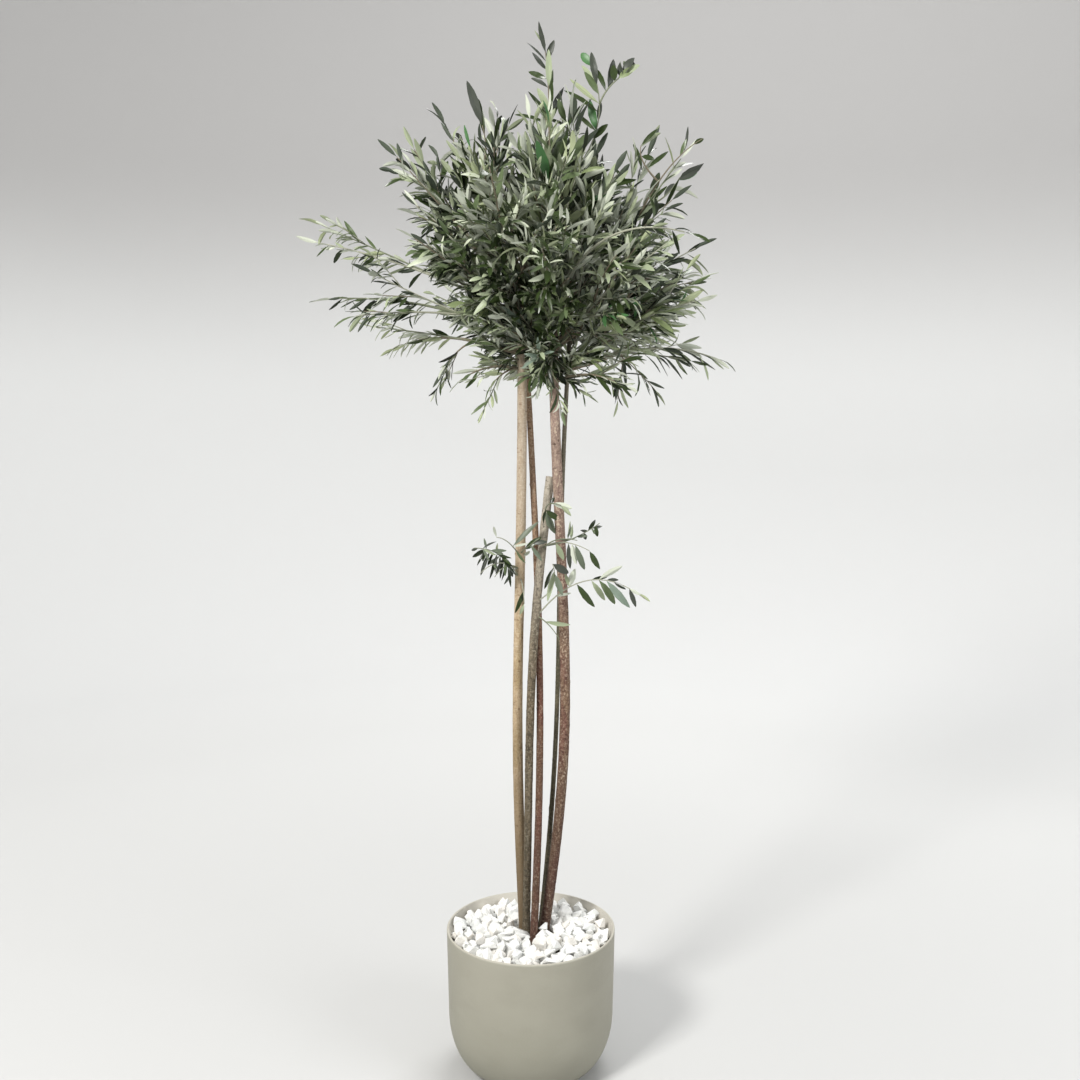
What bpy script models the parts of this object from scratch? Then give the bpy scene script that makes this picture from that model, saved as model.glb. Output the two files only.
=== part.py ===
"""Potted olive tree.

Five slim bare stems stand close together in a round planter, run up to an open crown of long
leafy sprays, and carry four small leafy shoots half way up. The planter is filled to just under
its rim and topped with pale stone chips.

Metres, +Z up. The origin is the centre of the planter's flat underside.
"""
import math
import random

import bmesh
import bpy
from mathutils import Vector
from mathutils.bvhtree import BVHTree

# ---------------------------------------------------------------- driving sizes

CLEARANCE = 0.0003            # air between two neighbouring nodes
WELD = 2e-6                   # points nearer than this are one point

POT_RADIUS = 0.175            # outside, at the rim
POT_HEIGHT = 0.300
POT_TAPER = 0.003             # how much narrower the wall is where the round bottom begins
POT_TURN_RADIAL = 0.070       # the rounded bottom corner is a quarter of an ellipse
POT_TURN_HEIGHT = 0.1215
POT_WALL = 0.008
POT_INNER_TURN = POT_TURN_RADIAL - POT_WALL / 2
POT_LIP = 0.004               # flat width of the rim
POT_LIP_DEPTH = 0.016         # height over which the lip swells to the full wall
POT_FLOOR = 0.014
POT_SIDES = 32
POT_TURN_STEPS = 4
LIP_ROUNDING = 0.0012

FILL_TOP = 0.262
FILL_FLOOR_INSET = 0.5        # least share of the clearance that the fill keeps at the floor's edge
CHIP_BED_TOP = 0.272          # level of the flat layer that the chips stand out of
CHIP_SIZE = 0.0140            # half the edge of a large chip
CHIP_SMALLEST = 0.72          # size of the smallest chip, against a large one
CHIP_LENGTHS = (0.85, 1.30)   # a chip's length, width and depth, each against its size
CHIP_WIDTHS = (0.60, 1.00)
CHIP_DEPTHS = (0.50, 0.85)
CHIP_CORNERS = (0.62, 1.00)   # how far a chip's corners are drawn in
CHIP_REACH = 1.25             # how far a chip reaches from its middle, against its size
CHIP_COUNT = 42
CHIP_MOUND = 0.007            # how much higher the chips lie in the middle
CHIP_SHIFT = (0.003, 0.003, 0.0009)       # how far a chip may lie from its place in the pattern
CHIP_SEED = 11
CUTTER_OVERRUN = 0.02         # how far a cutter runs on past what it cuts
SLAB_DEPTH = 0.05             # of the block that trims the chips level underneath
SLAB_SIDES = 8

STEM_SIDES = 8
STEM_STEPS = 10
FLARE_HEIGHT = 0.035          # the foot swells over this height
FLARE = 0.18                  # by this share of the radius

# name: foot x, foot y, head x, head y, head z, bow x, bow y, wave x, wave y, foot radius, head radius
STEMS = {
    "stem_pale": (-0.0137, 0.0225, -0.0175, -0.0120, 1.655, -0.0080, -0.0020, -0.0057, 0.0, 0.0104, 0.0094),
    "stem_stub": (-0.0100, -0.0020, 0.0397, 0.0200, 1.238, -0.0156, -0.0233, 0.0029, 0.0086, 0.0080, 0.0088),
    "stem_slim": (0.0050, -0.0290, -0.0125, 0.0320, 1.560, 0.0210, 0.0050, 0.0020, 0.0, 0.0080, 0.0056),
    "stem_thick": (0.0243, 0.0040, 0.0430, 0.0000, 1.600, 0.0345, -0.0010, 0.0100, 0.0, 0.0108, 0.0095),
    "stem_thin": (0.0178, 0.0265, 0.0790, 0.0320, 1.530, 0.0090, 0.0010, 0.0062, 0.0, 0.0052, 0.0044),
}

CROWN_CENTRE = (0.029, 0.0, 1.557)
BOUGH_LENGTH = 0.080          # or this share of the way to the tip, where that is shorter:
BOUGH_SHARE = 0.30
BOUGH_STEEPEST = 42           # degrees above level at which a bough leaves the side of a stem
BOUGH_SIDES = 5
BOUGH_STEPS = 2
BOUGH_ROOT_RADIUS = 0.0050
BOUGH_TIP_RADIUS = 0.0036
BOUGH_STRAIGHT_START = 0.2    # shares of its half length over which a bough's ends run straight
BOUGH_STRAIGHT_END = 0.3
SPRAY_ELBOW = 0.5             # share of the way to its tip at which a spray bends over
SPRAY_TIP_RADIUS = 0.0014
TWIG_ROOT_RADIUS = 0.0019
TWIG_TIP_RADIUS = 0.0012
SPRAY_STEPS = 3
SPRAY_SIDES = 4
TWIG_STEPS = 1
TWIG_SIDES = 3

# name: stem it grows from, height of its root (its head's height: it grows on from the cut head),
# bearing, rise, reach, arch
# Bearing is measured from +X towards +Y, rise from level; both in degrees and seen from the crown's
# centre, as is the reach to its furthest tip. Arch is how much the spray sets off above its tip.
CROWN = {
    "top": ("stem_thick", 1.600, 116, 88, 0.548, 0),
    "top_right": ("stem_thick", 1.555, -12, 75, 0.498, -6),
    "top_left": ("stem_pale", 1.610, 174, 68, 0.462, -4),
    "top_front": ("stem_thick", 1.580, -88, 68, 0.400, 0),
    "top_back": ("stem_slim", 1.555, 78, 66, 0.420, 0),
    "upper_right": ("stem_thick", 1.525, 6, 49, 0.448, 2),
    "upper_left": ("stem_pale", 1.585, 182, 47, 0.440, 4),
    "right": ("stem_thick", 1.490, 10, 24, 0.378, 10),
    "right_low": ("stem_thick", 1.445, -14, 5, 0.342, 16),
    "right_drooping": ("stem_thin", 1.455, 2, -15, 0.402, 22),
    "left": ("stem_pale", 1.555, 176, 17, 0.513, 8),
    "left_level": ("stem_pale", 1.520, 188, 3, 0.456, 12),
    "left_drooping": ("stem_pale", 1.485, 170, -12, 0.338, 18),
    "front_high": ("stem_pale", 1.570, -112, 44, 0.390, 2),
    "front_left": ("stem_pale", 1.535, -140, 22, 0.370, 8),
    "front_middle": ("stem_thick", 1.540, -92, 16, 0.360, 8),
    "front_right": ("stem_thick", 1.500, -46, 20, 0.370, 8),
    "back_high": ("stem_slim", 1.530, 112, 38, 0.410, 2),
    "back_right": ("stem_thin", 1.505, 56, 20, 0.400, 8),
    "back_left": ("stem_slim", 1.480, 132, 10, 0.400, 8),
    "low_front": ("stem_thick", 1.470, -98, -40, 0.245, 26),
    "low_left": ("stem_pale", 1.450, 202, -36, 0.255, 26),
    "low_right": ("stem_thick", 1.425, -40, -35, 0.262, 28),
    "low_back": ("stem_slim", 1.425, 82, -20, 0.300, 20),
}
# These masses grow straight from their stem, with no bough.
WITHOUT_BOUGH = ("front_left", "front_middle", "low_front", "low_left", "low_right", "low_back")

# Leaves stay above the crown's underside: level out to UNDERSIDE_FLAT from the crown's middle, then
# rising. Within UNDERSIDE_LEEWAY of their own spray they may hang lower.
UNDERSIDE = 1.374
UNDERSIDE_FLAT = 0.10
UNDERSIDE_SLOPE = 0.46
UNDERSIDE_LEEWAY = 0.028

# name: stem it grows from, height of its root, bearing of its root, tip x, y, z, rise at its root
SHOOTS = {
    "shoot_left": ("stem_pale", 1.040, 212, -0.110, -0.060, 1.110, 48),
    "shoot_stub": ("stem_stub", 1.182, -88, 0.082, -0.070, 1.196, 34),
    "shoot_right": ("stem_stub", 1.095, -48, 0.152, -0.050, 1.140, 28),
    "shoot_low": ("stem_stub", 0.955, -36, 0.246, -0.060, 1.004, 56),
}

LEAF_LENGTH = 0.094
LEAF_WIDTH = 0.0235
LEAF_THICKNESS = 0.0016
LEAF_WIDEST = 0.45            # share of the length at which a leaf is widest
LEAF_ANGLE = 38               # degrees between a leaf and its twig
LEAF_ANGLE_PLAY = 9           # degrees more or less
LEAF_SIZES = (0.85, 1.08)     # smallest and largest leaf, against LEAF_LENGTH
LEAF_SUNK = 0.004             # how far the last leaf's root lies inside the twig's end
LEAF_SAG = 0.08               # how much a leaf's tip hangs, as a share of its length
BLADE_START = 0.12            # beyond this share of its length a leaf crosses nothing
LEAF_MIDDLES = (0.25, 0.50, 0.75)         # where along a leaf its room is tested
TWIG_COUNT = 5
TWIG_FIRST = 0.06             # shares of the spray's length between which its twigs stand
TWIG_LAST = 0.80
TWIG_LENGTHS = (0.85, 1.10)   # shortest and longest twig of one place, against the rule's length
TWIG_FALL_OFF = 0.55          # how much shorter a twig at the spray's tip is than one at its root
TWIG_TRIM = 0.85              # a twig that has no room is cut to this share, again and again
TWIG_PARTS = 6                # equal parts of a twig at whose ends its room is tested
TWIG_LENGTH = 0.150           # or this share of a short spray, plus half a leaf:
TWIG_SHARE = 0.5
TWIG_SPREAD = 44              # degrees between a twig and its spray
TWIG_SAG = 0.16
TWIG_SHORTEST = 0.045
PAIR_SPACING = 0.048          # between two pairs of leaves on a twig
SPRAY_PAIR_SPACING = 0.0552   # and on a leading spray
SPRAY_BARE = 0.30             # share of a spray's length, from its root, that has no leaves
TWIG_BARE = 0.15              # and of a twig's
LAST_PAIR = 0.94              # share of the length before which the last pair stands
MASS_MARGIN = 0.0022          # kept free on each side of the border between two masses
LIMB_MARGIN = 0.0030          # kept free round stems and boughs
SHOOT_SCALE = 0.72            # leaves and twigs of the small shoots, against the crown's
SHOOT_TWIG_COUNT = 4
SHOOT_ELBOW = 0.45            # share of the way to its tip at which a shoot bends over
SHOOT_WOOD = 0.3              # least share of the way to its tip that is wood
TWIG_TURNS = (0, 40, -40, 80, -80)        # degrees by which a twig may turn to find room
LEAF_TURNS = ((0, 1.0), (45, 1.0), (-45, 1.0), (0, 0.55), (90, 1.0), (-90, 0.7))  # and a leaf, with its fold
GOLDEN_ANGLE = math.radians(137.508)
GROWTH_SEED = 4
TRIES = 8                     # a mass that does not close is joined again without the leaf at fault

DOWN = Vector((0.0, 0.0, -1.0))
NEARLY_UPRIGHT = 0.9          # rise of a unit vector beyond which +X, not +Z, helps to find its square

COLOURS = {
    "pot": (0.39, 0.37, 0.30, 0.42),
    "potting_fill": (0.045, 0.032, 0.022, 0.95),
    "stone_chips": (0.80, 0.80, 0.77, 0.75),
    "stem_pale": (0.40, 0.30, 0.20, 0.80),
    "stem_stub": (0.15, 0.11, 0.075, 0.85),
    "stem_slim": (0.20, 0.11, 0.075, 0.80),
    "stem_thick": (0.26, 0.15, 0.11, 0.80),
    "stem_thin": (0.085, 0.070, 0.050, 0.85),
    "bough": (0.20, 0.17, 0.11, 0.80),
    "leaves": (0.085, 0.125, 0.065, 0.55),
}


# ---------------------------------------------------------------- small tools

def clear_scene():
    """Remove every object that the scene starts with."""
    for thing in list(bpy.data.objects):
        bpy.data.objects.remove(thing, do_unlink=True)


def new_collection(name):
    """A collection linked to the scene."""
    group = bpy.data.collections.new(name)
    bpy.context.scene.collection.children.link(group)
    return group


def material(name, key):
    """A Principled material with the colour and roughness listed under key."""
    red, green, blue, roughness = COLOURS[key]
    made = bpy.data.materials.new(name)
    made.use_nodes = True
    shader = made.node_tree.nodes["Principled BSDF"]
    shader.inputs["Base Color"].default_value = (red, green, blue, 1.0)
    shader.inputs["Roughness"].default_value = roughness
    shader.inputs["Metallic"].default_value = 0.0
    return made


def place(name, mesh, group):
    """An object for a mesh, in a collection."""
    thing = bpy.data.objects.new(name, mesh)
    group.objects.link(thing)
    return thing


def finish_node(thing, key):
    """Give a node's mesh its name and its own material."""
    thing.data.name = thing.name
    thing.data.materials.clear()
    thing.data.materials.append(material(thing.name, key))


def bearing_vector(bearing, rise):
    """Unit vector for a bearing from +X towards +Y and a rise above level, in degrees."""
    turn = math.radians(bearing)
    lift = math.radians(rise)
    return Vector((math.cos(lift) * math.cos(turn), math.cos(lift) * math.sin(turn), math.sin(lift)))


def bend(start, elbow, end, steps, share=1.0):
    """Points on a share of the quadratic curve from start to end that leaves start towards elbow."""
    points = []
    for step in range(steps + 1):
        t = share * step / steps
        points.append(start * (1 - t) ** 2 + elbow * (2 * t * (1 - t)) + end * t ** 2)
    return points


def taper(first, last, count):
    """Radii that run evenly from first to last."""
    return [first + (last - first) * index / (count - 1) for index in range(count)]


def distance_to_path(point, path):
    """Shortest distance from a point to a line through several points."""
    nearest = math.inf
    for a, b in zip(path, path[1:]):
        along = b - a
        share = max(0.0, min(1.0, (point - a).dot(along) / along.length_squared))
        nearest = min(nearest, (point - a - along * share).length)
    return nearest


def flat_sides(sides):
    """How far a polygon's corners lie beyond the middles of its sides, as a factor."""
    return 1.0 / math.cos(math.pi / sides)


def limb_mesh(name, path, radii, sides):
    """A closed tapering limb: a polygon swept along a path by a bevelled curve with filled ends."""
    outline = bpy.data.curves.new("outline", "CURVE")
    outline.dimensions = "2D"
    ring = outline.splines.new("POLY")
    ring.points.add(sides - 1)
    for index in range(sides):
        turn = 2 * math.pi * index / sides
        ring.points[index].co = (math.cos(turn), math.sin(turn), 0.0, 1.0)
    ring.use_cyclic_u = True
    outline_object = bpy.data.objects.new("outline", outline)
    bpy.context.scene.collection.objects.link(outline_object)

    curve = bpy.data.curves.new(name, "CURVE")
    curve.dimensions = "3D"
    curve.bevel_mode = "OBJECT"
    curve.bevel_object = outline_object
    curve.use_fill_caps = True
    line = curve.splines.new("POLY")
    line.points.add(len(path) - 1)
    for index, (point, radius) in enumerate(zip(path, radii)):
        line.points[index].co = (point.x, point.y, point.z, 1.0)
        line.points[index].radius = radius
    curve_object = bpy.data.objects.new(name, curve)
    bpy.context.scene.collection.objects.link(curve_object)

    settled = curve_object.evaluated_get(bpy.context.evaluated_depsgraph_get())
    mesh = bpy.data.meshes.new_from_object(settled)
    bpy.data.objects.remove(curve_object, do_unlink=True)
    bpy.data.objects.remove(outline_object, do_unlink=True)
    weld(mesh)
    return mesh


def weld(mesh):
    """Join doubled points and turn every face outwards."""
    shape = bmesh.new()
    shape.from_mesh(mesh)
    bmesh.ops.remove_doubles(shape, verts=shape.verts, dist=WELD)
    bmesh.ops.recalc_face_normals(shape, faces=shape.faces)
    shape.to_mesh(mesh)
    shape.free()
    mesh.name = "limb"


def combine(thing, operation, group=None, other=None, solver="EXACT"):
    """Apply one Boolean with a collection or an object, and keep the result as the mesh."""
    step = thing.modifiers.new("combine", "BOOLEAN")
    step.operation = operation
    step.solver = solver
    if group is not None:
        step.operand_type = "COLLECTION"
        step.collection = group
    else:
        step.object = other
    bpy.context.view_layer.update()
    settled = thing.evaluated_get(bpy.context.evaluated_depsgraph_get())
    mesh = bpy.data.meshes.new_from_object(settled)
    thing.modifiers.clear()
    thing.data = mesh


def keep_outer_shell(mesh):
    """Keep the largest skin, so hollows are filled and scraps dropped; lists where it isn't closed."""
    shape = bmesh.new()
    shape.from_mesh(mesh)
    bmesh.ops.triangulate(shape, faces=shape.faces)
    bmesh.ops.remove_doubles(shape, verts=shape.verts, dist=WELD)
    waiting = set(shape.faces)
    shells = []
    while waiting:
        first = waiting.pop()
        shell = {first}
        front = [first]
        while front:
            face = front.pop()
            for edge in face.edges:
                for neighbour in edge.link_faces:
                    if neighbour in waiting:
                        waiting.remove(neighbour)
                        shell.add(neighbour)
                        front.append(neighbour)
        shells.append(shell)
    shells.sort(key=len)
    for shell in shells[:-1]:
        bmesh.ops.delete(shape, geom=list(shell), context="FACES")
    faults = [edge.verts[0].co.copy() for edge in shape.edges if len(edge.link_faces) != 2]
    faults += [corner.co.copy() for corner in shape.verts if not corner.is_manifold]
    shape.to_mesh(mesh)
    shape.free()
    return faults


# ---------------------------------------------------------------- planter, fill and chips

def pot_outline():
    """Half section of the planter's outside, from the underside's middle up to the rim."""
    waist = POT_RADIUS - POT_TAPER
    base = waist - POT_TURN_RADIAL
    points = []
    for step in range(POT_TURN_STEPS + 1):
        turn = 0.5 * math.pi * step / POT_TURN_STEPS
        points.append((base + POT_TURN_RADIAL * math.sin(turn), POT_TURN_HEIGHT * (1 - math.cos(turn))))
    points.append((POT_RADIUS, POT_HEIGHT - LIP_ROUNDING))
    points.append((POT_RADIUS - LIP_ROUNDING, POT_HEIGHT))
    return points


def inner_radius(height):
    """Radius of the planter's inner wall at a height above its floor."""
    waist = POT_RADIUS - POT_TAPER - POT_WALL
    turn_height = POT_TURN_HEIGHT - POT_FLOOR
    if height < POT_TURN_HEIGHT:
        sunk = (POT_TURN_HEIGHT - height) / turn_height
        return waist - POT_INNER_TURN * (1 - math.sqrt(max(0.0, 1 - sunk ** 2)))
    return waist + POT_TAPER * (height - POT_TURN_HEIGHT) / (POT_HEIGHT - POT_TURN_HEIGHT)


def inner_outline(top, inset):
    """Half section of the planter's hollow up to a height, made smaller by an inset."""
    points = []
    for step in range(POT_TURN_STEPS + 1):
        turn = 0.5 * math.pi * step / POT_TURN_STEPS
        height = POT_FLOOR + (POT_TURN_HEIGHT - POT_FLOOR) * (1 - math.cos(turn))
        inwards = inset * max(math.sin(turn), FILL_FLOOR_INSET)
        upwards = inset * math.cos(turn)
        points.append((inner_radius(height) - inwards, height + upwards))
    points.append((inner_radius(top) - inset, top))
    return points


def turned(name, outline, group):
    """A solid of revolution from a half section whose ends are joined to the axis."""
    mesh = bpy.data.meshes.new(name)
    corners = [(0.0, 0.0, outline[0][1])]
    corners += [(radius, 0.0, height) for radius, height in outline]
    corners.append((0.0, 0.0, outline[-1][1]))
    corners.reverse()
    edges = [(index, index + 1) for index in range(len(corners) - 1)]
    mesh.from_pydata(corners, edges, [])
    thing = place(name, mesh, group)
    screw = thing.modifiers.new("turn", "SCREW")
    screw.steps = POT_SIDES
    screw.render_steps = POT_SIDES
    screw.use_merge_vertices = True
    screw.merge_threshold = 0.0001
    settled = thing.evaluated_get(bpy.context.evaluated_depsgraph_get())
    solid = bpy.data.meshes.new_from_object(settled)
    thing.modifiers.clear()
    thing.data = solid
    weld(solid)
    return thing


def build_pot(group):
    """The planter: a thin-walled bowl with straight sides, a round bottom turn and a slim lip."""
    outside = pot_outline()
    lip_foot = POT_HEIGHT - POT_LIP_DEPTH
    inside = inner_outline(lip_foot, 0.0)
    inside.append((POT_RADIUS - POT_LIP, POT_HEIGHT - LIP_ROUNDING * 0.5))
    inside.append((POT_RADIUS - POT_LIP + LIP_ROUNDING * 0.5, POT_HEIGHT))
    thing = turned("pot", outside + inside[::-1], group)
    finish_node(thing, "pot")


def build_fill(group):
    """The potting fill: one solid plug that stands in the hollow up to the stone chips."""
    thing = turned("potting_fill", inner_outline(FILL_TOP, CLEARANCE), group)
    finish_node(thing, "potting_fill")


def chip_mesh(centre, size, rng):
    """An angular stone chip: a cube whose corners are drawn in and out, turned at random."""
    mesh = bpy.data.meshes.new("chip")
    shape = bmesh.new()
    bmesh.ops.create_cube(shape, size=2.0)
    axes = [Vector([rng.gauss(0, 1) for _ in range(3)]).normalized() for _ in range(2)]
    first = axes[0]
    second = first.cross(axes[1]).normalized()
    third = first.cross(second)
    stretch = [size * rng.uniform(*limits) for limits in (CHIP_LENGTHS, CHIP_WIDTHS, CHIP_DEPTHS)]
    for corner in shape.verts:
        local = [corner.co[axis] * stretch[axis] * rng.uniform(*CHIP_CORNERS) for axis in range(3)]
        corner.co = centre + first * local[0] + second * local[1] + third * local[2]
    bmesh.ops.triangulate(shape, faces=shape.faces)
    bmesh.ops.recalc_face_normals(shape, faces=shape.faces)
    shape.to_mesh(mesh)
    shape.free()
    return mesh


def build_chips(group, stems):
    """The stone chips: one layer laid round the stems, with chips standing out all over it."""
    rng = random.Random(CHIP_SEED)
    bottom = FILL_TOP + CLEARANCE
    rim = inner_radius(CHIP_BED_TOP) - CLEARANCE
    bed_outline = [(inner_radius(bottom) - CLEARANCE, bottom), (rim, CHIP_BED_TOP)]
    bed = turned("stone_chips", bed_outline, group)
    pieces = new_collection("chip_pieces")
    field = rim - CHIP_SIZE * CHIP_REACH
    for index in range(CHIP_COUNT):
        share = math.sqrt((index + 0.5) / CHIP_COUNT)
        turn = GOLDEN_ANGLE * index
        level = CHIP_BED_TOP + CHIP_MOUND * (1 - share ** 2)
        centre = Vector((field * share * math.cos(turn), field * share * math.sin(turn), level))
        centre += Vector([rng.uniform(-shift, shift) for shift in CHIP_SHIFT])
        size = CHIP_SIZE * rng.uniform(CHIP_SMALLEST, 1.0)
        place("chip", chip_mesh(centre, size, rng), pieces)
    combine(bed, "UNION", group=pieces, solver="MANIFOLD")
    discard(pieces)

    cutters = new_collection("cutters")
    cutters.hide_render = True
    level = Vector((0.0, 0.0, bottom))
    wide = 2 * POT_RADIUS
    place("slab", limb_mesh("slab", [level + DOWN * SLAB_DEPTH, level], [wide, wide], SLAB_SIDES), cutters)
    for path, radii in stems.values():
        foot = [path[0] + DOWN * CUTTER_OVERRUN] + path[:3]
        wide = [radius + CLEARANCE * flat_sides(STEM_SIDES) for radius in radii[:1] + radii[:3]]
        place("hole", limb_mesh("hole", foot, wide, STEM_SIDES), cutters)
    combine(bed, "DIFFERENCE", group=cutters, solver="MANIFOLD")
    discard(cutters)
    keep_outer_shell(bed.data)
    finish_node(bed, "stone_chips")


def discard(group):
    """Remove a collection and everything in it."""
    for thing in list(group.objects):
        bpy.data.objects.remove(thing, do_unlink=True)
    bpy.data.collections.remove(group)


# ---------------------------------------------------------------- stems and boughs

def stem_path(name):
    """A stem's centre line and radii: a straight run from foot to head, plus a bow and a wave."""
    foot_x, foot_y, head_x, head_y, head_z, bow_x, bow_y, wave_x, wave_y, thick, thin = STEMS[name]
    foot_z = FILL_TOP + CLEARANCE
    path = []
    radii = []
    for step in range(STEM_STEPS + 2):
        s = max(0.0, step - 1) / STEM_STEPS
        z = foot_z + (head_z - foot_z) * s
        if step == 1:
            z += FLARE_HEIGHT
            s = FLARE_HEIGHT / (head_z - foot_z)
        bow = math.sin(math.pi * s)
        wave = math.sin(2 * math.pi * s)
        x = foot_x + (head_x - foot_x) * s + bow_x * bow + wave_x * wave
        y = foot_y + (head_y - foot_y) * s + bow_y * bow + wave_y * wave
        radius = thick + (thin - thick) * s
        if step == 0:
            radius *= 1 + FLARE
        path.append(Vector((x, y, z)))
        radii.append(radius)
    path[0].x = path[1].x
    path[0].y = path[1].y
    return path, radii


def point_on_stem(stem, height):
    """Centre and radius of a stem at a height."""
    path, radii = stem
    for (a, b), (first, last) in zip(zip(path, path[1:]), zip(radii, radii[1:])):
        if a.z <= height <= b.z:
            share = (height - a.z) / (b.z - a.z)
            return a.lerp(b, share), first + (last - first) * share
    return path[-1].copy(), radii[-1]


def build_stems(group):
    """The five stems, each from a flat cut foot on the fill to its cut head."""
    stems = {}
    for name in STEMS:
        path, radii = stem_path(name)
        thing = place(name, limb_mesh(name, path, radii, STEM_SIDES), group)
        finish_node(thing, name)
        stems[name] = (path, radii)
    return stems


def saddle(thing, stem):
    """Cut a limb back to the stem it grows from, leaving the clearance."""
    path, radii = stem
    wide = [radius + CLEARANCE * flat_sides(STEM_SIDES) for radius in radii]
    wide_mesh = limb_mesh("saddle", path, wide, STEM_SIDES)
    cutter = place("saddle", wide_mesh, bpy.context.scene.collection)
    combine(thing, "DIFFERENCE", other=cutter)
    bpy.data.objects.remove(cutter, do_unlink=True)
    keep_outer_shell(thing.data)


def plan_crown(stems):
    """For each crown mass: its stem, its bough's path, its leading spray's path and its tip."""
    plans = {}
    for name, (stem, height, bearing, rise, reach, arch) in CROWN.items():
        tip = Vector(CROWN_CENTRE) + bearing_vector(bearing, rise) * reach
        path, radii = stems[stem]
        root, _ = point_on_stem(stems[stem], height)
        half = min(BOUGH_LENGTH, BOUGH_SHARE * (tip - root).length) / 2
        on_side = height < path[-1].z - CLEARANCE
        if on_side:
            outward = bearing_vector(bearing, min(rise + arch, BOUGH_STEEPEST))
        else:
            outward = (path[-1] - path[-2]).normalized()
            root = path[-1] + outward * CLEARANCE
        if name in WITHOUT_BOUGH:
            run = (tip - root).length
            lifted = (outward - DOWN * math.tan(math.radians(arch))).normalized()
            spray = bend(root, root + lifted * run * SPRAY_ELBOW, tip, SPRAY_STEPS, 1 - LEAF_LENGTH / run)
            plans[name] = (stem, None, spray, tip)
            continue
        elbow = root + outward * half
        heading = ((tip - elbow).normalized() - DOWN * math.tan(math.radians(arch))).normalized()
        joint = elbow + heading * half
        bough = bend(root, elbow, joint, BOUGH_STEPS)
        if not on_side:
            bough.insert(1, root + outward * half * BOUGH_STRAIGHT_START)
        bough.insert(-1, joint - heading * half * BOUGH_STRAIGHT_END)
        start = joint + heading * CLEARANCE
        run = (tip - start).length
        spray = bend(start, start + heading * run * SPRAY_ELBOW, tip, SPRAY_STEPS, 1 - LEAF_LENGTH / run)
        plans[name] = (stem, bough, spray, tip)
    return plans


def build_boughs(group, stems, plans):
    """The short boughs between the stems and the crown's masses."""
    boughs = {}
    for name, (stem, path, _, _) in plans.items():
        if path is None:
            continue
        radii = taper(BOUGH_ROOT_RADIUS, BOUGH_TIP_RADIUS, len(path))
        thing = place("bough_" + name, limb_mesh("bough", path, radii, BOUGH_SIDES), group)
        if path[0].z < stems[stem][0][-1].z:
            saddle(thing, stems[stem])
        finish_node(thing, "bough")
        boughs[name] = (path, radii)
    return boughs


# ---------------------------------------------------------------- foliage

class Space:
    """The room that each mass has: nearer to its own spray than to any other, clear of the limbs."""

    def __init__(self, limbs, underside=False):
        self.limbs = limbs
        self.sprays = {}
        self.underside = underside

    def holds(self, owner, point):
        """Whether a point lies inside the owner's room and clear of every limb."""
        own = distance_to_path(point, self.sprays[owner])
        if self.underside and own > UNDERSIDE_LEEWAY:
            out = math.hypot(point.x - CROWN_CENTRE[0], point.y - CROWN_CENTRE[1])
            if point.z < UNDERSIDE + UNDERSIDE_SLOPE * max(0.0, out - UNDERSIDE_FLAT):
                return False
        for name, path in self.sprays.items():
            if name == owner:
                continue
            if distance_to_path(point, path) - own < 2 * MASS_MARGIN:
                return False
        for path, radius in self.limbs:
            if distance_to_path(point, path) < radius + LIMB_MARGIN:
                return False
        return True

    def holds_all(self, owner, points):
        """Whether every point lies inside the owner's room."""
        return all(self.holds(owner, point) for point in points)


def leaf_corners(root, heading, across, scale):
    """The six corners of a leaf: root, tip, both edges, and the crown of each side."""
    length = LEAF_LENGTH * scale
    lift = heading.cross(across).normalized()
    middle = root + heading * length * LEAF_WIDEST
    tip = root + heading * length + DOWN * length * LEAF_SAG
    half_width = across * LEAF_WIDTH * scale * 0.5
    half_thick = lift * LEAF_THICKNESS * 0.5
    return [root, tip, middle + half_width, middle - half_width, middle + half_thick, middle - half_thick]


def leaf_faces():
    """The eight faces of a leaf, between its ends, its edges and its two sides."""
    faces = []
    for end in (0, 1):
        for edge in (2, 3):
            for side in (4, 5):
                faces.append((end, edge, side))
    return faces


def leaf_mesh(corners):
    """A closed leaf of eight faces."""
    mesh = bpy.data.meshes.new("leaf")
    mesh.from_pydata(corners, [], leaf_faces())
    weld(mesh)
    return mesh


def blade_tree(corners):
    """A search tree for the part of a leaf that stands clear of its twig."""
    blade = [corners[0].lerp(corners[1], BLADE_START)] + corners[1:]
    return BVHTree.FromPolygons(blade, leaf_faces())


def mesh_tree(mesh):
    """A search tree for a mesh."""
    points = [corner.co.copy() for corner in mesh.vertices]
    return BVHTree.FromPolygons(points, [tuple(face.vertices) for face in mesh.polygons])


def square_to(direction, roll):
    """A unit vector square to a direction, turned about it by a roll angle."""
    helper = Vector((0.0, 0.0, 1.0))
    if abs(direction.z) > NEARLY_UPRIGHT:
        helper = Vector((1.0, 0.0, 0.0))
    first = direction.cross(helper).normalized()
    second = direction.cross(first).normalized()
    return first * math.cos(roll) + second * math.sin(roll)


def heading_at(path, share):
    """Point and direction on a path at a share of its length."""
    lengths = [(b - a).length for a, b in zip(path, path[1:])]
    wanted = share * sum(lengths)
    for (a, b), length in zip(zip(path, path[1:]), lengths):
        if wanted <= length:
            return a.lerp(b, wanted / length), (b - a).normalized()
        wanted -= length
    return path[-1].copy(), (path[-1] - path[-2]).normalized()


def leaf_on(path, share, roll, angle, scale):
    """Corners of a leaf whose root is sunk to the middle of its twig."""
    root, along = heading_at(path, share)
    outward = square_to(along, roll)
    heading = (along * math.cos(angle) + outward * math.sin(angle)).normalized()
    across = along.cross(outward)
    if angle == 0.0:
        across = square_to(along, roll)
    return leaf_corners(root, heading, across.normalized(), scale)


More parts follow.
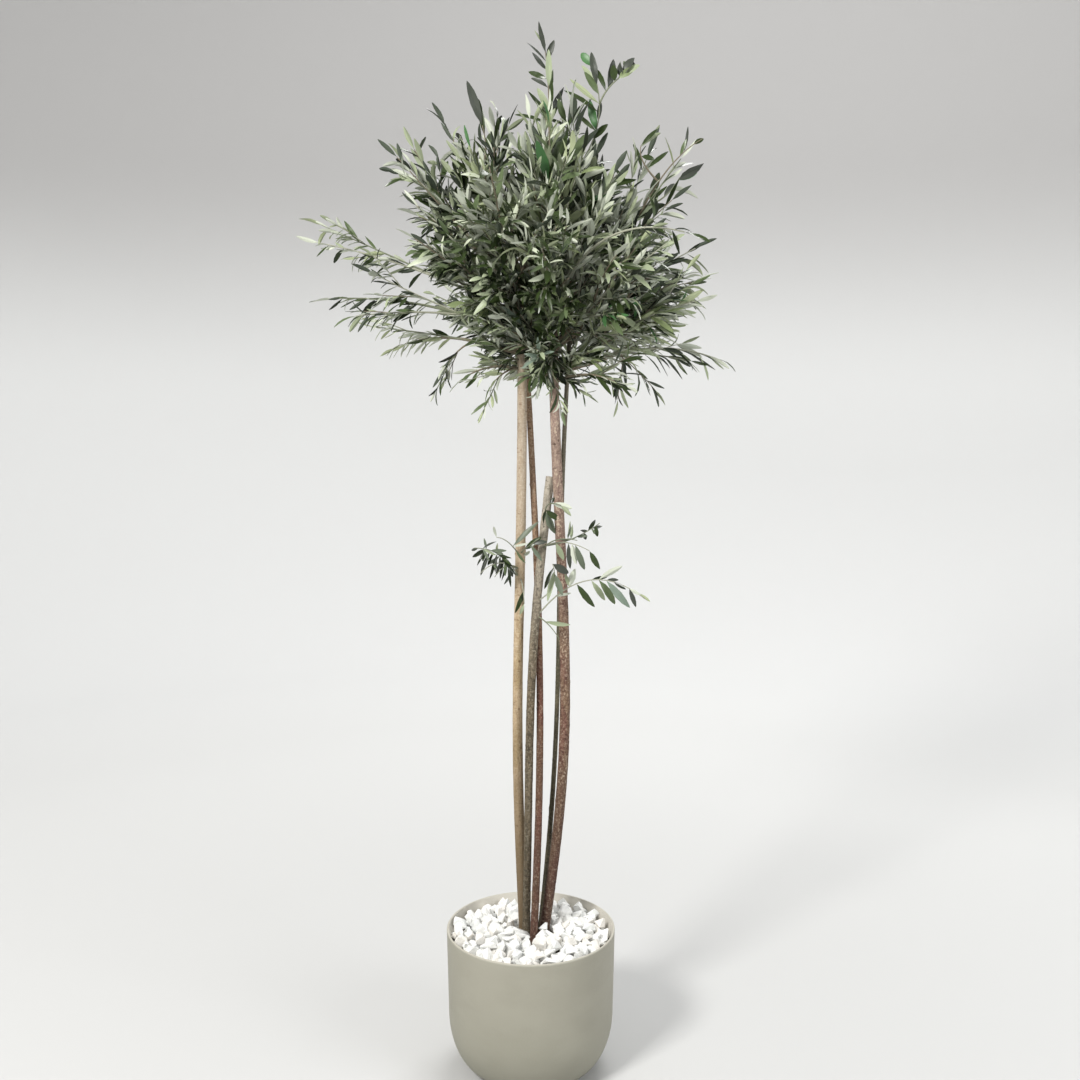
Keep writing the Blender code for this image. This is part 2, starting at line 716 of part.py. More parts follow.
def leaves_along(path, tip, first, spacing, scale, rng):
    """Places for leaves on a twig: one that runs on to its tip, and pairs, each square to the last."""
    length = sum((b - a).length for a, b in zip(path, path[1:]))
    pairs = max(1, int(length * (1 - first) / (spacing * scale)))
    roll = rng.uniform(0, math.pi)
    root = path[-1] - (tip - path[-1]).normalized() * LEAF_SUNK
    places = [([root, tip], 0.0, roll + pairs * math.pi / 2, 0.0, scale)]
    for index in range(pairs):
        share = first + (LAST_PAIR - first) * (index + 0.5) / pairs
        for side in (0.0, math.pi):
            angle = math.radians(LEAF_ANGLE + rng.uniform(-LEAF_ANGLE_PLAY, LEAF_ANGLE_PLAY))
            places.append((path, share, roll + side, angle, scale * rng.uniform(*LEAF_SIZES)))
        roll += math.pi / 2
    return places


def twig_path(spray, share, roll, length):
    """A twig that sets off from its spray at the spread angle and hangs a little."""
    root, along = heading_at(spray, share)
    outward = square_to(along, roll)
    spread = math.radians(TWIG_SPREAD)
    heading = (along * math.cos(spread) + outward * math.sin(spread)).normalized()
    points = []
    for step in range(TWIG_STEPS + 1):
        u = step / TWIG_STEPS
        points.append(root + heading * length * u + DOWN * length * TWIG_SAG * u ** 2)
    return points


def grow_twigs(spray, owner, space, rng, scale, count):
    """A mass's twigs, set by the golden angle, longest near the spray's root."""
    twigs = []
    phase = rng.uniform(0, 2 * math.pi)
    run = sum((b - a).length for a, b in zip(spray, spray[1:]))
    longest = min(TWIG_LENGTH * scale, TWIG_SHARE * run + LEAF_LENGTH * scale / 2)
    for index in range(count):
        share = TWIG_FIRST + (TWIG_LAST - TWIG_FIRST) * (index + 0.5) / count
        full = longest * (1 - TWIG_FALL_OFF * share) * rng.uniform(*TWIG_LENGTHS)
        fitting = []
        for turn in TWIG_TURNS:
            roll = phase + GOLDEN_ANGLE * index + math.radians(turn)
            length = full
            while length > TWIG_SHORTEST * scale:
                path = twig_path(spray, share, roll, length)
                tested = [path[0].lerp(path[-1], part / TWIG_PARTS) for part in range(TWIG_PARTS + 1)]
                if space.holds_all(owner, tested):
                    fitting.append((length, path))
                    break
                length *= TWIG_TRIM
            if fitting and fitting[-1][0] == full:
                break
        if fitting:
            twigs.append(max(fitting, key=lambda option: option[0])[1])
    return twigs


def grow_leaf(leaf_place, owner, space, others):
    """A leaf for one place, turned or folded in if need be; none where it can't keep clear."""
    path, share, roll, angle, scale = leaf_place
    for turn, fold in LEAF_TURNS:
        corners = leaf_on(path, share, roll + math.radians(turn), angle * fold, scale)
        middles = [corners[0].lerp(corners[1], part) for part in LEAF_MIDDLES]
        if space.holds_all(owner, corners[1:] + middles):
            blade = blade_tree(corners)
            if not any(blade.overlap(other) for other in others):
                return corners, blade
    return None, None


def build_mass(name, spray, tip, group, space, rng, scale, count, stem=None):
    """One leafy mass: its spray, with twigs and leaves fused on."""
    thick = BOUGH_TIP_RADIUS * scale ** 2
    sides = SPRAY_SIDES if scale == 1.0 else TWIG_SIDES
    twigs = grow_twigs(spray, name, space, rng, scale, count)
    leaf_places = leaves_along(spray, tip, SPRAY_BARE, SPRAY_PAIR_SPACING, scale, rng)
    twig_meshes = []
    for path in twigs:
        leaf_places += leaves_along(path, path[-1] * 2 - path[0], TWIG_BARE, PAIR_SPACING, scale, rng)
        radii = taper(TWIG_ROOT_RADIUS, TWIG_TIP_RADIUS, len(path))
        twig_meshes.append(limb_mesh("twig", path, radii, TWIG_SIDES))
    thing = place(name, limb_mesh(name, spray, taper(thick, SPRAY_TIP_RADIUS, len(spray)), sides), group)
    if stem:
        saddle(thing, stem)
    wood = [mesh_tree(mesh) for mesh in twig_meshes + [thing.data]]
    blades = []
    kept = []
    for leaf_place in leaf_places:
        corners, blade = grow_leaf(leaf_place, name, space, wood + blades)
        if corners:
            blades.append(blade)
            kept.append(corners)
    bare = thing.data
    for attempt in range(TRIES):
        pieces = new_collection("mass_pieces")
        for mesh in twig_meshes:
            place("twig", mesh.copy(), pieces)
        for corners in kept:
            place("leaf", leaf_mesh(corners), pieces)
        thing.data = bare.copy()
        combine(thing, "UNION", group=pieces, solver="MANIFOLD")
        discard(pieces)
        faults = keep_outer_shell(thing.data)
        if not faults:
            break
        fault = faults[0]
        kept.remove(min(kept, key=lambda corners: distance_to_path(fault, corners[:2])))
    finish_node(thing, "leaves")
    print(name, "twigs", len(twigs), "leaves", len(kept), "tries", attempt + 1)
    return len(kept)


def plan_shoots(stems):
    """The stems and sprays of the small shoots half way up."""
    shoots = {}
    for name, (stem, height, bearing, x, y, z, rise) in SHOOTS.items():
        centre, _ = point_on_stem(stems[stem], height)
        heading = bearing_vector(bearing, rise)
        tip = Vector((x, y, z))
        span = (tip - centre).length
        share = 1 - LEAF_LENGTH * SHOOT_SCALE / span
        elbow = centre + heading * span * SHOOT_ELBOW
        spray = bend(centre, elbow, tip, SPRAY_STEPS, max(share, SHOOT_WOOD))
        shoots[name] = (stem, spray, tip)
    return shoots


def build():
    """Everything, from the planter up."""
    clear_scene()
    group = new_collection("potted_olive_tree")
    build_pot(group)
    build_fill(group)
    stems = build_stems(group)
    build_chips(group, stems)
    plans = plan_crown(stems)
    boughs = build_boughs(group, stems, plans)

    limbs = [(path, max(radii[1:])) for path, radii in stems.values()]
    limbs += [(path, radii[0]) for path, radii in boughs.values()]
    crown_space = Space(limbs, underside=True)
    crown_space.sprays = {"crown_" + name: spray + [tip] for name, (_, _, spray, tip) in plans.items()}
    rng = random.Random(GROWTH_SEED)
    total = 0
    for name, (stem, bough, spray, tip) in plans.items():
        host = stems[stem] if bough is None else None
        total += build_mass("crown_" + name, spray, tip, group, crown_space, rng, 1.0, TWIG_COUNT, host)

    shoots = plan_shoots(stems)
    shoot_space = Space(limbs)
    shoot_space.sprays = {name: spray + [tip] for name, (_, spray, tip) in shoots.items()}
    size = SHOOT_SCALE
    for name, (stem, spray, tip) in shoots.items():
        total += build_mass(name, spray, tip, group, shoot_space, rng, size, SHOOT_TWIG_COUNT, stems[stem])

    triangles = sum(len(face.vertices) - 2 for thing in group.objects for face in thing.data.polygons)
    print("nodes", len(group.objects), "leaves", total, "triangles", triangles)


build()
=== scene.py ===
# %% [markdown]
# # A potted olive tree
#
# Five thin bare stems stand in a round planter and carry an open crown of narrow grey-green leaves.
# The measured model of the tree is already there as a frame of plain solids. This lesson dresses that
# frame: it makes the planter, the stone chips, the bark, the twigs and some thousands of leaves as
# finer surfaces in the same places, and gives each of them a finish.
#
# The first cell loads the frame.

# %% Load the frame
import math

import bmesh
import bpy
import numpy as np
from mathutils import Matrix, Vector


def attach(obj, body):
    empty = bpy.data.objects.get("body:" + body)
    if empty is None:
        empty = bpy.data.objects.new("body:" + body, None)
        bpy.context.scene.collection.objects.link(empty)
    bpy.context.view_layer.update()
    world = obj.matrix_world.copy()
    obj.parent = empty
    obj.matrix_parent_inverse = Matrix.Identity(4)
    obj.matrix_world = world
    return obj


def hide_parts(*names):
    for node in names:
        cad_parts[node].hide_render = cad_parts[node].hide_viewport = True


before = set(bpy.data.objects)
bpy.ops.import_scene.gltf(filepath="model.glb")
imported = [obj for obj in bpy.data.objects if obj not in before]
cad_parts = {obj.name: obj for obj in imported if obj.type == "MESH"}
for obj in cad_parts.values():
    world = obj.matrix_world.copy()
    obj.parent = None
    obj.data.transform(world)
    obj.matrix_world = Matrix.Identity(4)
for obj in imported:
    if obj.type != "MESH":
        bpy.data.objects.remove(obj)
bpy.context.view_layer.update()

print("solids in the frame:", len(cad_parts))

# %% [markdown]
# ## The camera
#
# The tree is seen from a little below the middle of its crown, from about two and a half metres away,
# with the view tipped down a few degrees so that the stone chips show inside the planter's rim. A lens
# of 40 mm on a film 36 mm wide takes in the tree down to the turn of the planter.

# %% Set up the camera
CAMERA_PLACE = (0.0192, -2.39, 1.41)
CAMERA_TIP_DOWN = math.radians(7.1)
CAMERA_LENS = 40.0
CAMERA_FILM = 36.0
CAMERA_SIGHT = 60.0

camera_data = bpy.data.cameras.new("camera")
camera_data.lens = CAMERA_LENS
camera_data.sensor_width = CAMERA_FILM
camera_data.sensor_fit = "HORIZONTAL"
camera_data.clip_end = CAMERA_SIGHT
camera = bpy.data.objects.new("camera", camera_data)
camera.location = CAMERA_PLACE
camera.rotation_euler = (math.pi / 2 - CAMERA_TIP_DOWN, 0.0, 0.0)
bpy.context.scene.collection.objects.link(camera)
bpy.context.scene.camera = camera
print("the camera stands", -CAMERA_PLACE[1], "m in front of the stems")

# %% [markdown]
# ## A small language for finishes
#
# A finish in Blender is a net of nodes. Written out link by link it is long and hard to read, so two
# small classes shorten it. `Wire` stands for one output of a node, and sums, differences and products
# on it add the Math nodes that work them out. `Finish` holds one material, and its `node` method adds
# any other node: first the settings, then the values or wires of its inputs.

# %% Wires and finishes
class Wire:
    """An output of a node. Arithmetic on it adds Math nodes and gives the wire of the result."""

    def __init__(self, finish, socket):
        self.finish = finish
        self.socket = socket

    def math(self, operation, *terms):
        """One Math node on the given terms, in order."""
        return self.finish.node("Math", {"operation": operation}, dict(enumerate(terms)))

    def __add__(self, other):
        return self.math("ADD", self, other)

    def __radd__(self, other):
        return self.math("ADD", other, self)

    def __sub__(self, other):
        return self.math("SUBTRACT", self, other)

    def __rsub__(self, other):
        return self.math("SUBTRACT", other, self)

    def __mul__(self, other):
        return self.math("MULTIPLY", self, other)

    def __rmul__(self, other):
        return self.math("MULTIPLY", other, self)

    def between(self, low, high):
        """0 up to low, 1 from high on, and a smooth rise in between."""
        settings = {"interpolation_type": "SMOOTHSTEP"}
        return self.finish.node("MapRange", settings, {"Value": self, "From Min": low, "From Max": high})


class Finish:
    """One material, its Principled shader, and the node method that adds anything else."""

    def __init__(self, name, colour, roughness, **fixed):
        self.material = bpy.data.materials.new(name)
        self.material.use_nodes = True
        self.tree = self.material.node_tree
        self.shader = self.tree.nodes["Principled BSDF"]
        self.material.diffuse_color = (*colour, 1.0)
        self.set("Base Color", colour)
        self.set("Roughness", roughness)
        for socket, value in fixed.items():
            self.set(socket.replace("_", " "), value)

    def feed(self, socket, value):
        """Link a wire to a socket, or set a plain number or colour on it."""
        if isinstance(value, Wire):
            self.tree.links.new(value.socket, socket)
        elif socket.type == "RGBA":
            socket.default_value = (*value[:3], 1.0)
        else:
            socket.default_value = value

    def set(self, name, value):
        """Feed one of the shader's own sockets."""
        self.feed(self.shader.inputs[name], value)

    def node(self, kind, settings, values, output=0):
        """Add a node: its settings first, then its inputs. Gives the wire of one output."""
        made = self.tree.nodes.new("ShaderNode" + kind)
        for name, value in settings.items():
            setattr(made, name, value)
        for name, value in values.items():
            self.feed(made.inputs[name], value)
        return Wire(self, made.outputs[output])

    def place(self, stretch):
        """Object coordinates, stretched along each axis."""
        where = self.node("TexCoord", {}, {}, "Object")
        return self.node("VectorMath", {"operation": "MULTIPLY"}, {0: where, 1: stretch})

    def height(self):
        """The height above the ground."""
        return self.node("SeparateXYZ", {}, {0: self.node("TexCoord", {}, {}, "Object")}, "Z")

    def from_axis(self):
        """The distance from the upright axis."""
        return self.node("VectorMath", {"operation": "LENGTH"}, {0: self.place((1.0, 1.0, 0.0))}, "Value")

    def noise(self, scale, detail, stretch=(1.0, 1.0, 1.0), roughness=0.5):
        """Cloudy noise between 0 and 1."""
        values = {"Vector": self.place(stretch), "Scale": scale, "Detail": detail, "Roughness": roughness}
        return self.node("TexNoise", {}, values)

    def specks(self, scale, stretch=(1.0, 1.0, 1.0)):
        """Distance to the nearest of many scattered points, 0 at each point."""
        return self.node("TexVoronoi", {}, {"Vector": self.place(stretch), "Scale": scale})

    def blend(self, amount, first, second):
        """Colour that runs from first to second as the amount goes from 0 to 1."""
        colours = {"Fac": amount, "Color1": first, "Color2": second}
        return self.node("MixRGB", {"blend_type": "MIX"}, colours)

    def relief(self, height, depth):
        """A bump on the surface, of the given depth in metres."""
        self.set("Normal", self.node("Bump", {}, {"Height": height, "Distance": depth, "Strength": 1.0}))


print("helpers for finishes are ready")

# %% [markdown]
# ## A studio to stand in
#
# The tree needs a plain pale surround from every side. The floor is a wide disc whose edge sweeps up
# into a round wall with no corner, as in a photographer's studio, so no line shows behind the plant.
# It is one grid: the height profile is carried round a circle. The paint carries painted shade: it is a
# little darker near the planter and high on the wall, where a real room gets less light.

# %% Helpers for surfaces

def grid_faces(rows, columns):
    """Quads between neighbours on a grid of rows and columns, joined round the columns."""
    row, column = np.meshgrid(np.arange(rows - 1), np.arange(columns), indexing="ij")
    this, after = row * columns, (row + 1) * columns
    across = (column + 1) % columns
    return np.stack([this + column, this + across, after + across, after + column], -1).reshape(-1, 4)


def revolve(radius, height, sides):
    """Points of a profile carried round the upright axis: x = r cos a, y = r sin a, z = height."""
    turn = np.linspace(0, 2 * np.pi, sides, endpoint=False)
    x = radius[:, None] * np.cos(turn)
    y = radius[:, None] * np.sin(turn)
    z = np.broadcast_to(height[:, None], x.shape)
    return np.stack([x, y, z], -1).reshape(-1, 3)


def new_piece(name, points, faces, finishes, indices=None, crease=None):
    """An object at the origin whose mesh holds the points and faces, smooth except at sharp creases."""
    mesh = bpy.data.meshes.new(name)
    mesh.from_pydata(points.tolist(), [], [face for block in faces for face in block.tolist()])
    for finish in finishes:
        mesh.materials.append(finish.material)
    if indices is not None:
        mesh.polygons.foreach_set("material_index", indices.astype(np.int32))
    mesh.polygons.foreach_set("use_smooth", np.ones(len(mesh.polygons), bool))
    if crease is not None:
        mesh.set_sharp_from_angle(angle=math.radians(crease))
    mesh.update()
    thing = bpy.data.objects.new(name, mesh)
    bpy.context.scene.collection.objects.link(thing)
    return thing


print("helpers for surfaces are ready")

# %% Build the sweep of floor and wall
SWEEP_RINGS = (0.02, 1.2, 2.4)        # radii of the flat floor's rings
SWEEP_FLAT = 3.6
SWEEP_CURVE = 2.2
SWEEP_TOP = 6.5
SWEEP_SIDES = 96
SWEEP_ROWS = 24
# painted shade: the floor's paint is darker near the planter and the wall's paint darker high up, while the
# paler far floor and low wall stand for the lit parts
PAINT_NEAR_SHADED, PAINT_FAR = (0.525, 0.527, 0.520), (0.675, 0.678, 0.670)    # on the floor
PAINT_LOW, PAINT_HIGH_SHADED = (0.765, 0.770, 0.765), (0.495, 0.490, 0.485)    # on the wall
FLOOR_RUN, EDGE_RUN, WALL_RUN = (0.4, 3.2), (2.5, 3.9), (1.35, 2.9)     # where each runs into the next

bend = np.linspace(0, np.pi / 2, SWEEP_ROWS)
sweep_radius = SWEEP_FLAT + SWEEP_CURVE * np.sin(bend)
sweep_radius = np.concatenate([SWEEP_RINGS, sweep_radius, [SWEEP_FLAT + SWEEP_CURVE]])
sweep_height = np.concatenate([[0, 0, 0], SWEEP_CURVE * (1 - np.cos(bend)), [SWEEP_TOP]])
paint = Finish("pale_paint", (0.80, 0.80, 0.79), 0.9, Specular_IOR_Level=0.15)
grain = paint.noise(70.0, detail=2.0)
# painted light and shade: the paint runs from the shaded to the lit colours by height on the wall and by
# distance on the floor
wall_painted_shade = paint.blend(paint.height().between(*WALL_RUN), PAINT_LOW, PAINT_HIGH_SHADED)
floor_painted_shade = paint.blend(paint.from_axis().between(*FLOOR_RUN), PAINT_NEAR_SHADED, PAINT_FAR)
painted_shading = paint.blend(paint.from_axis().between(*EDGE_RUN), floor_painted_shade, wall_painted_shade)
paint.set("Base Color", paint.blend(grain * 0.05, painted_shading, (0.60, 0.59, 0.58)))
sweep_points = revolve(sweep_radius, sweep_height, SWEEP_SIDES)
centre_disc = np.arange(SWEEP_SIDES)[None, :]
sweep_faces = [grid_faces(len(sweep_radius), SWEEP_SIDES), centre_disc]
floor = new_piece("studio_floor", sweep_points, sweep_faces, [paint])
print("the floor is flat out to", SWEEP_FLAT, "m")

# %% [markdown]
# ## Soft light
#
# Wide lamps give soft light. The strongest hangs over the camera on the left, and being the smallest it
# also draws the shadows. A second one fills the right side, and a third stands behind and above so that
# the edges of the leaves catch a pale rim. The last one washes the lower wall, which leaves the wall
# greyer towards its top. The open top of the studio lets in an even white sky.

# %% Hang the lamps
SKY_STRENGTH = 0.66
LAMPS = {
    # place, size in metres, watts, colour, the point it faces
    "lamp_left": ((-1.9, -2.5, 3.3), 0.8, 168.0, (1.0, 0.985, 0.96), (0.0, 0.0, 1.2)),
    "lamp_right": ((2.7, -1.8, 2.4), 1.6, 48.0, (0.97, 0.985, 1.0), (0.0, 0.0, 1.1)),
    "lamp_back": ((0.8, 2.3, 3.8), 2.0, 70.0, (1.0, 1.0, 1.0), (0.0, 0.0, 1.3)),
    "lamp_wall": ((0.7, 2.4, 4.6), 2.6, 55.0, (1.0, 1.0, 1.0), (1.0, 5.6, 0.4)),
}


def hang_lamp(name, place, size, watts, colour, aim):
    """A square lamp of the given size that faces a point."""
    data = bpy.data.lights.new(name, "AREA")
    data.shape = "SQUARE"
    data.size = size
    data.energy = watts
    data.color = colour
    lamp = bpy.data.objects.new(name, data)
    lamp.location = place
    towards = Vector(np.array(aim) - np.array(place))
    lamp.rotation_euler = towards.to_track_quat("-Z", "Y").to_euler()
    bpy.context.scene.collection.objects.link(lamp)


for lamp_name, settings in LAMPS.items():
    hang_lamp(lamp_name, *settings)

sky = bpy.data.worlds.new("sky")
sky.use_nodes = True
sky_light = sky.node_tree.nodes["Background"].inputs
sky_light["Color"].default_value = (1.0, 1.0, 1.0, 1.0)
sky_light["Strength"].default_value = SKY_STRENGTH
bpy.context.scene.world = sky
bpy.context.scene.view_settings.view_transform = "Standard"
print("lamps:", ", ".join(LAMPS))

# %% [markdown]
# ## The planter
#
# The planter is a thin-walled bowl cast in a fine mineral clay: straight sides, a generous round turn
# into a small flat foot, and a slim lip. A lathe makes such a shape, and so does one profile carried
# round the axis. The profile is worked out in parts: a quarter of an ellipse for the turn, a line for
# the wall, a small half round for the lip, and the same again inside.

# %% Turn the planter
POT_RADIUS = 0.175
POT_HEIGHT = 0.300
POT_TAPER = 0.003
TURN_RADIAL = 0.070
TURN_HEIGHT = 0.1215
WALL = 0.008
FLOOR = 0.014
LIP = 0.0042
LIP_DEPTH = 0.016
LIP_EASE = 0.0006             # how far the lip leans in over its first 8 mm
LIP_EASE_DEPTH = 0.008
FOOT_RING, FLOOR_RING = 0.05, 0.04
POT_SIDES = 160
TURN_STEPS, WALL_STEPS, LIP_STEPS = 26, 14, 9


def pot_profile():
    """Radius and height from the middle of the foot, out and up to the lip, and back down inside."""
    waist = POT_RADIUS - POT_TAPER
    brim = POT_HEIGHT - LIP / 2
    turn = np.linspace(0, np.pi / 2, TURN_STEPS)
    foot = np.array([[0.0, 0.0], [FOOT_RING, 0.0]])
    out = waist - TURN_RADIAL + TURN_RADIAL * np.sin(turn)
    outer = np.stack([out, TURN_HEIGHT * (1 - np.cos(turn))], -1)
    rise = np.linspace(0.0, 1.0, WALL_STEPS)[1:, None]
    wall = outer[-1] + rise * (np.array([POT_RADIUS, brim]) - outer[-1])
    half = np.linspace(0, np.pi, LIP_STEPS)[1:-1]
    lip = np.array([POT_RADIUS - LIP / 2, brim]) + LIP / 2 * np.stack([np.cos(half), np.sin(half)], -1)
    inside = POT_RADIUS - LIP
    inside_top = np.array([[inside, brim], [inside - LIP_EASE, POT_HEIGHT - LIP_EASE_DEPTH]])
    back = turn[::-1]
    reach = waist - WALL
    inner_turn = TURN_HEIGHT - FLOOR
    inner = np.stack([
        reach - (TURN_RADIAL - WALL / 2) * (1 - np.sin(back)),
        FLOOR + inner_turn * (1 - np.cos(back)),
    ], -1)
    inner_wall = np.array([[reach + POT_TAPER, POT_HEIGHT - LIP_DEPTH]])
    middle = np.array([[FLOOR_RING, FLOOR], [0.0, FLOOR]])
    return np.concatenate([foot, outer, wall, lip, inside_top, inner_wall, inner, middle])


profile = pot_profile()
pot_points = revolve(profile[1:-1, 0], profile[1:-1, 1], POT_SIDES)
poles = np.array([[0.0, 0.0, profile[0, 1]], [0.0, 0.0, profile[-1, 1]]])
ring = np.arange(POT_SIDES)
last_ring = (len(profile) - 3) * POT_SIDES + ring
first_pole = len(pot_points)
foot_fan = np.stack([np.full(POT_SIDES, first_pole), np.roll(ring, -1), ring], -1)
floor_fan = np.stack([np.full(POT_SIDES, first_pole + 1), last_ring, np.roll(last_ring, -1)], -1)

clay = Finish("mineral_clay", (0.33, 0.31, 0.25), 0.5, Specular_IOR_Level=0.35)
cloud = clay.noise(9.0, detail=4.0, stretch=(1.0, 1.0, 1.6))
fine = clay.noise(260.0, detail=3.0)
pores = clay.specks(420.0).between(0.10, 0.16)
body = clay.blend(cloud.between(0.35, 0.65), (0.330, 0.318, 0.262), (0.305, 0.294, 0.240))
# painted shade: the clay is mixed darker towards the bottom, where the lower turn faces away from the light
body = clay.blend((1 - clay.height().between(0.02, 0.24)) * 0.5, body, (0.262, 0.258, 0.206))
# painted highlight: a paler band along the top of the lip, where the light catches it
lip_painted_highlight = clay.height().between(POT_HEIGHT - 0.0045, POT_HEIGHT - 0.0015)
body = clay.blend(lip_painted_highlight * 0.42, body, (0.56, 0.535, 0.46))
# painted light: the inside of the wall above the chips is mixed paler, as if lit by the bright white chips
within = 1 - clay.from_axis().between(POT_RADIUS - LIP, POT_RADIUS - LIP + 0.0008)
body = clay.blend(within * clay.height().between(0.2, 0.25), body, (0.57, 0.545, 0.485))
clay.set("Base Color", clay.blend((1 - pores) * 0.22, body, (0.23, 0.215, 0.165)))
clay.set("Roughness", 0.50 + fine * 0.16)
clay.relief(fine * 0.7 + pores * 0.5, 0.00022)
pot_faces = [grid_faces(len(profile) - 2, POT_SIDES), foot_fan, floor_fan]
pot = new_piece("planter", np.concatenate([pot_points, poles]), pot_faces, [clay], crease=50)
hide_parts("pot")
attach(pot, "root")
print("planter:", len(pot.data.polygons), "faces,", round(2 * profile[:, 0].max(), 3), "m across")

# %% [markdown]
# ## Potting fill
#
# Dark coarse compost fills the planter. Almost all of it is hidden by the chips, so the plain solid of
# the frame stays and only gets a finish.

# %% Colour the fill
compost = Finish("compost", (0.045, 0.032, 0.022), 0.95)
clods = compost.noise(160.0, detail=5.0, roughness=0.65)
crumbs = compost.blend(clods.between(0.35, 0.7), (0.020, 0.014, 0.010), (0.095, 0.068, 0.046))
compost.set("Base Color", crumbs)
compost.relief(clods, 0.004)
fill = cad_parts["potting_fill"]
fill.data.materials.clear()
fill.data.materials.append(compost.material)
print("the fill keeps its solid of", len(fill.data.polygons), "faces")

# %% [markdown]
# ## The stems' centre lines
#
# Every stem follows the same rule: a straight run from its foot to its head, bowed sideways by half a
# sine wave and nudged by a whole one. The rule works on a whole array of heights at once, and the
# same lines later tell the chips, twigs and leaves where the wood is.

# %% Work out the stems
FILL_TOP = 0.262
CLEARANCE = 0.0003
STEM_POINTS = 41              # along a line that guides chips, twigs and leaves
STEM_ROWS = 620               # along the bark itself
STEM_SIDES = 28
FLARE = 0.18
FLARE_HEIGHT = 0.035

# name: foot x, foot y, head x, head y, head z, bow x, bow y, wave x, wave y, foot radius, head radius
STEMS = {
    "stem_pale": (-0.0137, 0.0225, -0.0175, -0.0120, 1.655, -0.0080, -0.0020, -0.0057, 0.0, 0.0104, 0.0094),
    "stem_stub": (-0.0100, -0.0020, 0.0397, 0.0200, 1.238, -0.0156, -0.0233, 0.0029, 0.0086, 0.0080, 0.0088),
    "stem_slim": (0.0050, -0.0290, -0.0125, 0.0320, 1.560, 0.0210, 0.0050, 0.0020, 0.0, 0.0080, 0.0056),
    "stem_thick": (0.0243, 0.0040, 0.0430, 0.0000, 1.600, 0.0345, -0.0010, 0.0100, 0.0, 0.0108, 0.0095),
    "stem_thin": (0.0178, 0.0265, 0.0790, 0.0320, 1.530, 0.0090, 0.0010, 0.0062, 0.0, 0.0052, 0.0044),
}


def stem_line(name, count):
    """Centre points and radii: foot + (head - foot) s + bow sin(pi s) + wave sin(2 pi s)."""
    foot_x, foot_y, head_x, head_y, head_z, bow_x, bow_y, wave_x, wave_y, thick, thin = STEMS[name]
    s = np.linspace(0.0, 1.0, count)
    foot_z = FILL_TOP + CLEARANCE
    bow = np.sin(np.pi * s)
    wave = np.sin(2 * np.pi * s)
    x = foot_x + (head_x - foot_x) * s + bow_x * bow + wave_x * wave
    y = foot_y + (head_y - foot_y) * s + bow_y * bow + wave_y * wave
    z = foot_z + (head_z - foot_z) * s
    swell = 1 + FLARE * np.clip(1 - (z - foot_z) / FLARE_HEIGHT, 0, 1)
    return np.stack([x, y, z], -1), (thick + (thin - thick) * s) * swell


stems = {name: stem_line(name, STEM_POINTS) for name in STEMS}
print("stems up to", {name: STEMS[name][4] for name in STEMS})

# %% [markdown]
# ## Stone chips
#
# White marble chips cover the compost. Each is a broken piece with flat sides and sharp corners. Such
# a shape is the hull of a few points scattered over a blunt block. Two dozen hulls are made as
# patterns, and every chip is one of them, stretched, turned and laid by one array. The chips lie in
# four layers up to the planter's wall, a little higher in the middle, and clear of the stems' feet.

# %% Break the stone and lay it
CHIP_LAYERS = (
    # height, number, size
    (0.2650, 80, 1.0), (0.2735, 100, 1.0), (0.2820, 98, 1.0), (0.2895, 84, 0.92),
)
CHIP_HALF = 0.0156
CHIP_CORNERS = 13
CHIP_PATTERNS = 24
CHIP_STRETCH = ((0.95, 1.25), (0.75, 1.0), (0.55, 0.85))      # limits along each axis
CHIP_SIZES = (0.72, 1.12)
CHIP_FIELD = 0.1665
CHIP_MOUND = 0.007
CHIP_SHIFT, CHIP_DROP = 0.004, 0.0025         # how far a chip may lie off its spiral and its layer
GOLDEN_ANGLE = math.radians(137.508)


def broken_block(rng):
    """Corners and faces of one chip: the hull of points on the block |x|^4 + |y|^4 + |z|^4 = 1."""
    toward = rng.normal(size=(CHIP_CORNERS, 3))
    corners = toward / (toward ** 4).sum(axis=1, keepdims=True) ** 0.25
    cloud = bpy.data.meshes.new("cloud")
    cloud.from_pydata(corners.tolist(), [], [])
    shape = bmesh.new()
    shape.from_mesh(cloud)
    bmesh.ops.convex_hull(shape, input=shape.verts)
    bmesh.ops.recalc_face_normals(shape, faces=shape.faces)
    shape.verts.index_update()
    faces = np.array([[corner.index for corner in face.verts] for face in shape.faces])
    shape.free()
    bpy.data.meshes.remove(cloud)
    return corners, faces


def random_turns(count, rng):
    """One random rotation matrix for each item, from random quaternions."""
    q = rng.normal(size=(count, 4))
    q /= np.linalg.norm(q, axis=1, keepdims=True)
    w, x, y, z = q.T
    rows = [
        [1 - 2 * (y * y + z * z), 2 * (x * y - z * w), 2 * (x * z + y * w)],
        [2 * (x * y + z * w), 1 - 2 * (x * x + z * z), 2 * (y * z - x * w)],
        [2 * (x * z - y * w), 2 * (y * z + x * w), 1 - 2 * (x * x + y * y)],
    ]
    return np.moveaxis(np.array(rows), 2, 0)


def cut_chips(centres, sizes, rng):
    """Points and faces of all chips: centre + turn (stretch * corner) * size, for one pattern each."""
    patterns = [broken_block(rng) for _ in range(CHIP_PATTERNS)]
    corners, faces = (np.stack(column) for column in zip(*patterns))
    count = len(centres)
    pattern = rng.integers(0, CHIP_PATTERNS, count)
    stretch = np.stack([rng.uniform(*limits, count) for limits in CHIP_STRETCH], -1)
    local = corners[pattern] * stretch[:, None] * sizes[:, None, None]
    turned = np.einsum("cij,cvj->cvi", random_turns(count, rng), local)
    shift = (np.arange(count) * CHIP_CORNERS)[:, None, None]
    return (turned + centres[:, None, :]).reshape(-1, 3), (faces[pattern] + shift).reshape(-1, 3)


